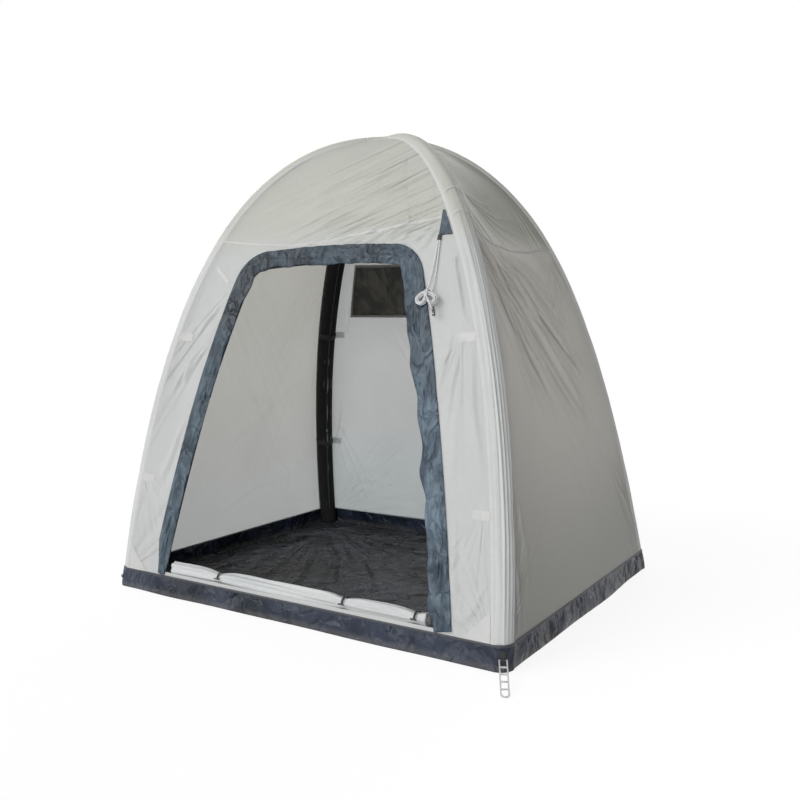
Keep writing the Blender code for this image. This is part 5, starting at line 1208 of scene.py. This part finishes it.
from_back_left = tub_cloth.fan((-0.86, 0.66, 0.0), (0.63, -0.78, 0.0), (0.78, 0.63, 0.0),
                               wide=0.75, near=0.02, reach=2.3, count=9, seed=3)
from_back_right = tub_cloth.fan((0.86, 0.66, 0.0), (-0.7, -0.72, 0.0), (-0.72, 0.7, 0.0),
                                wide=0.7, near=0.02, reach=1.4, count=9, seed=5)
swell = from_back_left * 0.040 + from_back_right * 0.020 + broad * 0.10
tub_normal = tub_cloth.bump(fine, 0.0010, 1.0, tub_cloth.bump(swell, 1.0))
tub_normal = tub_cloth.bump(tub_cloth.ramp(creased, (0.0, 0.0), (0.20, 1.0)), 0.0050, 1.0, tub_normal)
tub_normal = tub_cloth.bump(ribs, 0.0002, 0.5, tub_normal)
tub_cloth.wear(colour=tub_cloth.mix(rim_mask, dark, blue),
               roughness=tub_cloth.ramp(fine, (0.3, 0.22), (0.7, 0.40)), normal=tub_normal)

tub = add_piece("groundsheet_cloth", cloth_mesh("groundsheet", AROUND, 110, tub_place, close=True),
                tub_cloth)
thicken(tub, FLOOR_T)
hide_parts("groundsheet")
RIM_SEAM_W, RIM_SEAM_RISE, RIM_SEAM_STANDS = 0.012, 0.0022, 0.0006
rim_route = []
for index in range(AROUND + 1):
    high = high_ring[index % AROUND]
    low = low_ring[index % AROUND]
    before, after = high_ring[(index - 1) % AROUND], high_ring[(index + 1) % AROUND]
    ahead = (after - before).normalized()
    beside = (high - low).normalized()
    away = Vector((high.x, high.y, 0)).normalized()
    rim_route.append((high + away * RIM_SEAM_STANDS, beside, ahead.cross(beside)))
rim_tape = woven("rim seam tape", (0.030, 0.034, 0.044), (0.016, 0.018, 0.024), crinkle=0.0010,
                 crinkle_scale=30.0, roughness=(0.4, 0.55))
band("rim_seam", rim_route, RIM_SEAM_W, RIM_SEAM_RISE, rim_tape, tub)

# Storm flap: slate blue cloth sewn round the doorway outside, two layers with a puffed, rippled
# face, and its lower ends hanging free.
FLAP_W, FLAP_FOOT, FLAP_T, FLAP_WARP = 0.068, 0.094, 0.0006, 0.0016
flap_outer, flap_inner = door_line(FLAP_W, FLAP_FOOT), door_line(0.0, FLAP_FOOT)
FLAP_STEPS = len(flap_outer) - 1


def flap_spot(across, along):
    """The flap from its outer edge to its inner edge, from the left foot round to the right."""
    at = min(along * FLAP_STEPS, FLAP_STEPS - 0.001)
    index, part = int(at), at % 1
    run = 4.6 * along
    foot = max(0.0, 1 - along / 0.035)
    right = min(1.0, max(0.0, (along - 0.55) / 0.1))
    reach = 1.12 + 0.10 * min(1.0, along * 3) + 0.10 * math.exp(-((along - 0.72) / 0.03) ** 2)
    reach += (0.16 + 0.14 * right) * noise.noise(Vector((run * 3.0, 0.7, 4.0)))
    reach += (0.12 + 0.12 * right) * noise.noise(Vector((run * 9, 2.0, 1.0)))
    share = 0.55 * foot + (reach - 0.55 * foot) * across
    spot = []
    for axis in (0, 1):
        outer = flap_outer[index][axis] * (1 - part) + flap_outer[index + 1][axis] * part
        inner = flap_inner[index][axis] * (1 - part) + flap_inner[index + 1][axis] * part
        spot.append(outer * (1 - share) + inner * share)
    puff = math.sin(math.pi * across) ** 0.6
    ripple = noise.noise(Vector((run * 4.5 + across * 1.5, across * 1.6, 2.0)))
    fold = noise.noise(Vector((run * 7.0 - across * 9.0, across * 1.2 + run * 2.0, 9.0)))
    return (*spot, 0.0030 + puff * (0.0075 + 0.0060 * ripple + 0.0050 * fold))


blue_cloth = Finish("slate blue flap cloth", roughness=0.5)
spot = blue_cloth.stretch(blue_cloth.place(), (1.0, 1.0, 0.6), (0.0, 0.6, 0.0))
folds = blue_cloth.speckle(spot, 16.0, 3.0, 0.5, 0.5)
pleats = blue_cloth.cracks(blue_cloth.mix(0.2, spot, blue_cloth.speckle(spot, 9.0), "ADD"), 17.0)
ridges = blue_cloth.ramp(pleats, (0.0, 0.0), (0.30, 1.0))
warp = (blue_cloth.bands(blue_cloth.along(), FLAP_WARP, "X")
        * blue_cloth.bands(blue_cloth.along(), FLAP_WARP, "Y"))
cloud = blue_cloth.speckle(blue_cloth.place(), 5.0, 3.0)
from_left = blue_cloth.split(blue_cloth.place(), "X")
height = blue_cloth.split(blue_cloth.place(), "Z")
# The dye is lighter where the fold noise is high, so the raised folds carry a painted highlight.
dye_and_painted_shade = blue_cloth.mix(blue_cloth.ramp(cloud * 0.5 + folds * 0.5, (0.38, 0.0), (0.62, 1.0)),
                     (0.014, 0.029, 0.044), (0.092, 0.128, 0.162))
# Darker along the pleat lines: painted shade in the creases.
dye_and_painted_shade = blue_cloth.mix(blue_cloth.ramp(pleats, (0.0, 0.5), (0.10, 0.0)), dye_and_painted_shade, (0.012, 0.020, 0.034))
# Darker on the left and a little lighter on the right: painted shade and painted light across the doorway.
painted_shade_on_left = blue_cloth.ramp(from_left + 0.5, (0.1, (0.70, 0.74, 0.74)), (0.9, (1.08, 1.08, 1.08)))
# Darker towards the top and lighter near the foot.
darker_towards_top = blue_cloth.ramp(height * 0.5, (0.3, (1.22, 1.22, 1.22)), (0.7, (0.62, 0.66, 0.69)))
dye_and_painted_shade = blue_cloth.mix(1.0, dye_and_painted_shade, painted_shade_on_left, "MULTIPLY")
blue_cloth.wear(
    colour=blue_cloth.mix(1.0, dye_and_painted_shade, darker_towards_top, "MULTIPLY"),
    roughness=blue_cloth.ramp(cloud, (0.3, 0.42), (0.7, 0.6)),
    normal=blue_cloth.bump(warp, 0.0002, 0.5, blue_cloth.bump(ridges * 0.32 + folds, 0.024)))
flap = add_piece("storm_flap_cloth", on_wall("flap", "front", 22, 700, flap_spot), blue_cloth)
thicken(flap, FLAP_T, 1.0)
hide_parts("storm_flap")

# Door zip: black tape behind the doorway's edge with a moulded coil, and two sliders parked at the
# sill.
TAPE_INNER, TAPE_OUTER, TAPE_BACK, TAPE_T = -0.008, 0.016, -0.0035, 0.0006
DOOR_COIL_INNER, DOOR_COIL_OUTER, DOOR_COIL_BACK, DOOR_COIL_RISE = -0.010, -0.003, -0.0030, 0.0022
zip_tape = woven("zip tape", (0.018, 0.018, 0.020), (0.010, 0.010, 0.011), crinkle=0.0006,
                 crinkle_scale=40.0, roughness=(0.6, 0.75))


def door_band(name, inner, outer, lift, finish):
    """Band that follows the doorway's edge between two offsets."""
    outer_line, inner_line = door_line(outer, SILL_HEIGHT), door_line(inner, SILL_HEIGHT)
    last = len(outer_line) - 1

    def spot(across, along):
        index = round(along * last)
        x = outer_line[index][0] * (1 - across) + inner_line[index][0] * across
        z = outer_line[index][1] * (1 - across) + inner_line[index][1] * across
        return x, z, lift(across)

    return add_piece(name, on_wall(name, "front", 4, last, spot), finish)


tape_band = door_band("door_zip_tape", TAPE_INNER, TAPE_OUTER, lambda across: TAPE_BACK, zip_tape)
thicken(tape_band, TAPE_T)
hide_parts("door_zip")
door_coil = door_band("door_zip_coil", DOOR_COIL_INNER, DOOR_COIL_OUTER,
                      lambda across: DOOR_COIL_BACK + DOOR_COIL_RISE * math.sin(math.pi * across), zip_coil)
attach(door_coil, tape_band)

metal = Finish("painted zip metal", roughness=0.35, Metallic=1.0)
worn = metal.speckle(metal.place(), 400.0, 3.0)
metal.wear(colour=metal.mix(worn, (0.42, 0.42, 0.44), (0.62, 0.62, 0.63)),
           roughness=metal.ramp(worn, (0.3, 0.28), (0.7, 0.45)), normal=metal.bump(worn, 0.0001, 0.4))
refinish(metal, "door_slider_left", "door_slider_right", *("sleeve_zip_slider_" + leg for leg in LEGS))
refinish(moulded, "door_puller_left", "door_puller_right")

# Door panel: the cloth that closes the doorway, folded over and over along the sill and held by
# three elastic loops, so it bunches between them.
BUNDLE_HALF_LENGTH, HALF_THICK, HALF_HEIGHT, PINCH = 0.655, 0.024, 0.036, 0.012
BUNDLE_Z, BUNDLE_REST, BUNDLE_SNUG = 0.124, math.radians(36), 0.0008
TOGGLE_PLACES = (-0.371, 0.283, 0.610)
LOOP_W, LOOP_T, LOOP_SWEEP, TOUCH = 0.008, 0.0014, math.radians(235), 0.0003
LAYERS, PANEL_T, ELASTIC_T = 9.0, 0.0005, 0.0012


def bundle_half_height(x):
    """Half height of the folded panel, pinched in where a loop goes round it."""
    pinch = 0.0
    for place in TOGGLE_PLACES:
        gap = max(0.0, abs(x - place) - 0.007) / 0.10
        pinch = max(pinch, (1 - min(gap, 1.0)) ** 2)
    return HALF_HEIGHT - PINCH * pinch


def bundle_middle(x):
    """Middle of the folded panel's section."""
    return wall_place("front", x, BUNDLE_Z, BUNDLE_SNUG - 0.0023 - HALF_THICK * math.cos(BUNDLE_REST))


def bundle_place(across, up):
    """One long sheet rolled flat: up runs from the roll's heart to its outer end."""
    x = BUNDLE_HALF_LENGTH * (2 * across - 1)
    up = 1 - (1 - up) ** 1.8
    turn = 2 * math.pi * LAYERS * (up - 1) - math.radians(60)
    share = 0.16 + 0.84 * up ** 0.55
    near = min(abs(x - place) for place in TOGGLE_PLACES)
    loose = min(1.0, max(0.0, (near - 0.01) / 0.12))
    fold = 0.0036 * math.cos(6 * (turn + BUNDLE_REST) + 2.5 * math.sin(x * 3.0)) * (0.35 + 0.65 * loose)
    fold -= 0.0036
    ripple = 0.0050 * noise.noise(Vector((x * 4.5, 3.5 * math.cos(turn), 3.5 * math.sin(turn))))
    ripple = ripple * loose - 0.0012
    fine = 0.0010 * noise.noise(Vector((x * 16.0, 5 * math.cos(turn), 5 * math.sin(turn) + up)))
    if up > 0.9:
        fold += ripple + fine
    deep = (HALF_THICK + fold) * share
    tall = (bundle_half_height(x) + fold) * share
    return bundle_middle(x) + Vector((0, -deep * math.cos(turn), tall * math.sin(turn)))


panel_cloth = woven("door panel cloth", (0.54, 0.55, 0.55), (0.46, 0.475, 0.48), crinkle=0.0045,
                    crinkle_scale=16.0, streak=(0.22, 1.0, 1.0), roughness=(0.5, 0.65))
bundle = add_piece("door_panel_cloth", cloth_mesh("bundle", 130, 340, bundle_place), panel_cloth)
thicken(bundle, PANEL_T, 0.0)
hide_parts("door_panel")

elastic = woven("black elastic", (0.020, 0.020, 0.022), (0.010, 0.010, 0.011), period=0.0012,
                weave=0.0005, crinkle=0.0004, crinkle_scale=60.0, roughness=(0.6, 0.8))
for number, place in enumerate(TOGGLE_PLACES):
    def loop_place(across, along, place=place):
        """Elastic from the wall round the front of the folded panel and down behind it."""
        turn = LOOP_SWEEP * (1 - along)
        x = place + LOOP_W * (across - 0.5)
        grow = 2 * TOUCH + LOOP_T / 2
        half = bundle_half_height(place) + grow
        return bundle_middle(x) + Vector((0, -(HALF_THICK + grow) * math.cos(turn), half * math.sin(turn)))

    name = "door_loop_%d" % (number + 1)
    loop = add_piece(name + "_elastic", cloth_mesh(name, 6, 44, loop_place), elastic)
    thicken(loop, ELASTIC_T, 0.0)
    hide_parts(name)
    refinish(moulded, "door_toggle_%d" % (number + 1))

# Window: fine dark net sewn behind its opening, with a folded cloth binding round it outside.
NET_LAP, NET_BACK, NET_PERIOD = 0.010, 0.0035, 0.0016
BINDING_W, BINDING_T, BINDING_STANDS, BINDING_RISE = 0.024, 0.0008, 0.0018, 0.0016


def window_spot(across, up, grow, lift):
    """Place in the window area from its shares across and up: sideways, height and lift."""
    height = WINDOW_LOW - grow + (WINDOW_HIGH - WINDOW_LOW + 2 * grow) * up
    half = WINDOW_SHARE * half_width("back", height) + grow
    return half * (2 * across - 1), height, lift


def net_spot(across, up):
    """The net, drawn tight at its edge and a little slack inside it."""
    sag = 0.004 * noise.noise(Vector((across * 7, up * 3, 5.0)))
    edge = math.sin(math.pi * across) * math.sin(math.pi * up)
    return window_spot(across, up, NET_LAP, -NET_BACK + sag * min(1.0, 3 * edge))


net = Finish("fine dark net", roughness=0.7)
knots = net.bands(net.along(), NET_PERIOD, "X") * net.bands(net.along(), NET_PERIOD, "Y")
holes = net.ramp(knots, (0.25, 1.0), (0.75, 0.97))
rumple = net.speckle(net.stretch(net.place(), (1.0, 1.0, 0.5)), 14.0, 4.0, 1.0)
shade = net.mix(net.ramp(rumple, (0.38, 0.0), (0.64, 1.0)), (0.018, 0.017, 0.013), (0.072, 0.069, 0.057))
net.wear(colour=shade, alpha=holes, normal=net.bump(rumple, 0.010))
window = add_piece("window_net_cloth", on_wall("net", "back", 110, 24, net_spot), net)
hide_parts("window_net")

SIDE_STEPS = 30
rim_points = []
for corner in range(4):
    for step in range(SIDE_STEPS):
        share = step / SIDE_STEPS
        across = (share, 1.0, 1 - share, 0.0)[corner]
        up = (0.0, share, 1.0, 1 - share)[corner]
        rim_points.append((across, up))


def binding_spot(across, along):
    """Binding from its outer edge to its inner edge, round the window."""
    x, z = rim_points[round(along * len(rim_points)) % len(rim_points)]
    arch = BINDING_RISE * math.sin(math.pi * across) + 0.0006 * noise.noise(Vector((x * 40, z * 12, across)))
    return window_spot(x, z, BINDING_W * across, BINDING_STANDS + arch)


binding_cloth = woven("black binding", (0.022, 0.023, 0.026), (0.012, 0.012, 0.014), crinkle=0.0010,
                      crinkle_scale=30.0, roughness=(0.5, 0.7))
binding = add_piece("window_binding_cloth",
                    on_wall("binding", "back", 6, len(rim_points), binding_spot, close=True), binding_cloth)
thicken(binding, BINDING_T, 1.0)
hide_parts("window_binding")

# Guy point: a slate blue triangle sewn at the front right shoulder, with a doubled webbing loop
# under it that carries the rope.
GUY_TOP, GUY_BASE, GUY_SHARE, GUY_W, GUY_TIP_W = 1.645, 1.545, 0.975, 0.062, 0.010
GUY_T, GUY_STANDS = 0.0010, 0.0020
WEB_W, WEB_L, WEB_T, WEB_LAYER, WEB_END, WEB_BEND = 0.016, 0.022, 0.0010, 0.0014, 0.0016, 0.9
WEB_MIDDLE, WEB_ACROSS = (0.54922, -0.47542, 1.53306), (0.99952, -0.00759, 0.03015)
WEB_UP, WEB_OUT = (-0.02588, 0.33418, 0.94215), (-0.01722, -0.94248, 0.33382)
WEB_PLACE = facing(WEB_MIDDLE, WEB_ACROSS, WEB_UP, WEB_OUT)


def guy_spot(across, up):
    """The triangle, from its base up to its narrow tip."""
    height = GUY_BASE + (GUY_TOP - GUY_BASE) * up
    width = GUY_W + (GUY_TIP_W - GUY_W) * up
    right = GUY_SHARE * half_width("front", height)
    pucker = 0.0012 * noise.noise(Vector((across * 3, up * 4, 8.0)))
    return right - width * (1 - across), height, GUY_STANDS + pucker


guy = add_piece("guy_patch_cloth", on_wall("guy", "front", 14, 20, guy_spot), blue_cloth)
thicken(guy, GUY_T, 1.0)
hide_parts("guy_patch")


def webbing_place(across, up):
    """A strip folded into a loop: down its face, round its lower end, and back up."""
    turn = math.pi * (up - 0.5)
    round_end = max(-WEB_BEND, min(WEB_BEND, turn)) / WEB_BEND * math.pi / 2
    straight = max(0.0, abs(turn) - WEB_BEND) / (math.pi / 2 - WEB_BEND)
    y = -WEB_L / 2 + WEB_END + straight * (WEB_L - WEB_END) - WEB_LAYER * math.cos(round_end)
    return WEB_PLACE @ Vector((WEB_W * (across - 0.5), y, WEB_LAYER * math.sin(round_end)))


webbing = woven("black webbing", (0.026, 0.024, 0.026), (0.012, 0.012, 0.013), period=0.0013,
                weave=0.0006, crinkle=0.0004, crinkle_scale=60.0, roughness=(0.6, 0.8))
loop = add_piece("guy_webbing_loop", cloth_mesh("guy webbing", 8, 30, webbing_place), webbing)
thicken(loop, WEB_T, 0.0)
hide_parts("guy_webbing")

# Straps: hook and loop bands of black webbing that hold each sleeve in its corner at two heights.
# Each is sewn to the skin by both ends and goes round the sleeve's inner side.
STRAP_FROM, STRAP_SWEEP = math.radians(74), math.radians(212)
STRAP_W, STRAP_STANDS, STRAP_RISE, WEBBING_T = 0.026, 0.0016, 0.0004, 0.0012
for name, height in zip(("lower_strap_", "upper_strap_"), STRAP_HEIGHTS):
    for leg in LEGS:
        def strap_place(across, up, leg=leg, height=height):
            """Webbing round the sleeve from one side of the corner strip to the other."""
            radius = SLEEVE_R + STRAP_STANDS + STRAP_RISE * math.sin(math.pi * up)
            return leg_spot(leg, height + STRAP_W * (up - 0.5), STRAP_FROM + STRAP_SWEEP * across, radius)

        strap = add_piece(name + leg + "_webbing", cloth_mesh("strap", 40, 6, strap_place), webbing)
        thicken(strap, WEBBING_T, 0.0)
        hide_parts(name + leg)

# Corner tabs: webbing folded round an eye at each foot and sewn to the outside of its strip. The
# front right one carries the peg ladder and faces the way that the ladder lies.
TAB_W, TAB_T, TAB_L, TAB_LAYER, TAB_TUCK = 0.019, 0.003, 0.030, 0.0004, 0.93
EYE_R, EYE_BORE_R, EYE_OUT, EYE_FROM, EYE_SWEEP = 0.0054, 0.0031, 0.0042, math.radians(108), math.radians(290)
TAB_HEIGHT, TAB_FACE, TAB_SKIN_R = 0.058, math.radians(15), TUB_R * math.cos(math.pi / 12)
LADDER_LEG, LADDER_YAW = "front_right", math.radians(-62)


def tab_frame(leg):
    """Frame of the tab at a foot, with its axes outwards, sideways and up."""
    face = TAB_FACE * LEGS[leg][0] * LEGS[leg][1]
    middle = leg_spot(leg, TAB_HEIGHT, face, 0.0)
    normal = (leg_spot(leg, TAB_HEIGHT, face, TAB_SKIN_R) - middle).normalized()
    outward = Vector((normal.x, normal.y, 0.0)).normalized()
    clear = TAB_SKIN_R + TOUCH + TAB_T / 2
    if leg == LADDER_LEG:
        toward_ladder = Vector((math.cos(LADDER_YAW), math.sin(LADDER_YAW), 0.0))
        clear += TAB_W / 2 * math.sin(toward_ladder.angle(outward))
        outward = toward_ladder
    across = Vector((0.0, 0.0, 1.0)).cross(outward)
    lower, upper = (leg_spot(leg, TAB_HEIGHT + step, face, TAB_SKIN_R) for step in (-0.01, 0.01))
    rise = upper - lower
    up = (rise - across * rise.dot(across)).normalized()
    return facing(middle + normal * clear, across.cross(up), across, up)


for leg in LEGS:
    def tab_place(across, up, tab_matrix=tab_frame(leg)):
        """Webbing down from its upper end, once round the eye, and up again behind."""
        middle = (EYE_R + EYE_BORE_R) / 2
        round_run = EYE_SWEEP * middle
        run = up * (2 * TAB_L + round_run)
        past = run - TAB_L - round_run
        if run < TAB_L:
            out, level = TAB_T / 2 - TAB_LAYER, TAB_L / 2 - run * TAB_TUCK
        elif past > 0.0:
            out, level = TAB_LAYER - TAB_T / 2, -TAB_L / 2 + 0.002 + past * TAB_TUCK
        else:
            turn = EYE_FROM - (run - TAB_L) / middle
            out, level = EYE_OUT + middle * math.cos(turn), -TAB_L / 2 + middle * math.sin(turn)
        return tab_matrix @ Vector((out, TAB_W * (across - 0.5), level))

    tab = add_piece("corner_tab_webbing_" + leg, cloth_mesh("tab", 8, 60, tab_place), webbing)
    thicken(tab, WEBBING_T, 0.0)
    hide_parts("corner_tab_" + leg)

# Peg ladder: clear moulded rubber with a row of cells for the peg, whitened where it has been
# stretched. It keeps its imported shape.
rubber = Finish("clear moulded rubber", roughness=0.30, Transmission_Weight=0.25, IOR=1.45)
haze = rubber.speckle(rubber.place(), 90.0, 3.0)
rubber.wear(colour=rubber.mix(haze, (0.55, 0.57, 0.56), (0.80, 0.82, 0.80)),
            roughness=rubber.ramp(haze, (0.3, 0.22), (0.7, 0.42)), normal=rubber.bump(haze, 0.0003, 0.5))
refinish(rubber, "peg_ladder")

# Inflation valve and the air tubes: grey moulded valve low on the front left leg, and clear film
# tubes inside the sleeves that meet in a welded hub.
valve_plastic = Finish("valve plastic", roughness=0.38)
grain = valve_plastic.speckle(valve_plastic.place(), 700.0, 3.0)
valve_plastic.wear(colour=valve_plastic.mix(grain, (0.06, 0.06, 0.066), (0.12, 0.12, 0.128)),
                   normal=valve_plastic.bump(grain, 0.00012, 0.5))
refinish(valve_plastic, "valve_body", "valve_cap")
refinish(metal, "valve_plunger")
film = Finish("air tube film", roughness=0.28, Transmission_Weight=0.3)
cloudy = film.speckle(film.stretch(film.place(), (1.0, 1.0, 0.3)), 18.0, 4.0, 0.6)
film.wear(colour=film.mix(cloudy, (0.55, 0.58, 0.60), (0.74, 0.76, 0.78)),
          roughness=film.ramp(cloudy, (0.3, 0.2), (0.7, 0.4)), normal=film.bump(cloudy, 0.002))
refinish(film, "air_hub", *("air_tube_" + leg for leg in LEGS))

# Floor, backdrop and light: a pale floor, a sky that is brighter on the left, and three suns: broad
# from the front left, low from the side and soft from behind. The camera, gloss and clear plastic
# see white, which does not light the cloth.
FLOOR_HALF, FLOOR_DROP, FLOOR_GLOW, FLOOR_WHITE = 30.0, 0.0005, 1.08, 0.8
SKY_BRIGHT_SIDE, SKY_DIM, SKY_BRIGHT = (-0.98, -0.10, 0.12), 0.06, 0.75


def seen_directly(finish):
    """1 for rays from the camera, off gloss or through clear plastic, and 0 for what lights the cloth."""
    camera_ray, glossy_ray, through_ray, dull_ray = (
        finish.node("ShaderNodeLightPath", output="Is %s Ray" % kind)
        for kind in ("Camera", "Glossy", "Transmission", "Diffuse"))
    return camera_ray + glossy_ray + through_ray * (1 - dull_ray)


floor_mesh = bpy.data.meshes.new("studio_floor")
bm = bmesh.new()
bmesh.ops.create_grid(bm, x_segments=2, y_segments=2, size=FLOOR_HALF)
bmesh.ops.translate(bm, vec=(0, 0, -FLOOR_DROP), verts=bm.verts)
bm.to_mesh(floor_mesh)
bm.free()
floor = bpy.data.objects.new("studio_floor", floor_mesh)
bpy.context.scene.collection.objects.link(floor)
pale = Finish("pale studio floor", roughness=0.9)
dust = pale.speckle(pale.place(), 3.0, 2.0)
pale.wear(colour=pale.mix(dust, (0.84, 0.84, 0.84), (0.87, 0.87, 0.87)))
white = pale.node("ShaderNodeEmission", None, {"Color": (1.0, 1.0, 1.0), "Strength": FLOOR_GLOW})
pale.cover(seen_directly(pale) * FLOOR_WHITE, white)
floor_mesh.materials.append(pale.material)

world = bpy.data.worlds.new("studio")
bpy.context.scene.world = world
world.use_nodes = True


class Sky(Finish):
    """The world's nodes, made in the same way as a finish's."""

    def __init__(self, tree):
        self.nodes = tree.nodes
        self.links = tree.links
        self.shader = self.nodes["Background"]


sky = Sky(world.node_tree)
heading = sky.node("ShaderNodeTexCoord", output="Generated")
toward = sky.node("ShaderNodeVectorMath", {"operation": "DOT_PRODUCT"},
                  {0: heading, 1: SKY_BRIGHT_SIDE}, output="Value")
shine = sky.node("ShaderNodeMapRange", None, {"Value": toward, "From Min": -0.9, "From Max": 1.0,
                                              "To Min": SKY_DIM, "To Max": SKY_BRIGHT})
strength = sky.node("ShaderNodeMapRange", None, {"Value": seen_directly(sky), "To Min": shine})
sky.feed(sky.shader.inputs["Color"], (1.0, 1.0, 1.0))
sky.feed(sky.shader.inputs["Strength"], strength)

for name, direction, energy, angle in (("broad lamp", (-0.55, -0.80, 0.60), 1.5, 40),
                                       ("side lamp", (0.30, -1.0, 0.25), 1.1, 14),
                                       ("back lamp", (-0.20, 1.0, 0.30), 0.9, 40)):
    lamp = bpy.data.objects.new(name, bpy.data.lights.new(name, "SUN"))
    bpy.context.scene.collection.objects.link(lamp)
    lamp.data.energy = energy
    lamp.data.angle = math.radians(angle)
    lamp.matrix_world = Vector(direction).to_track_quat("Z", "Y").to_matrix().to_4x4()

bpy.context.scene.view_settings.view_transform = "Standard"
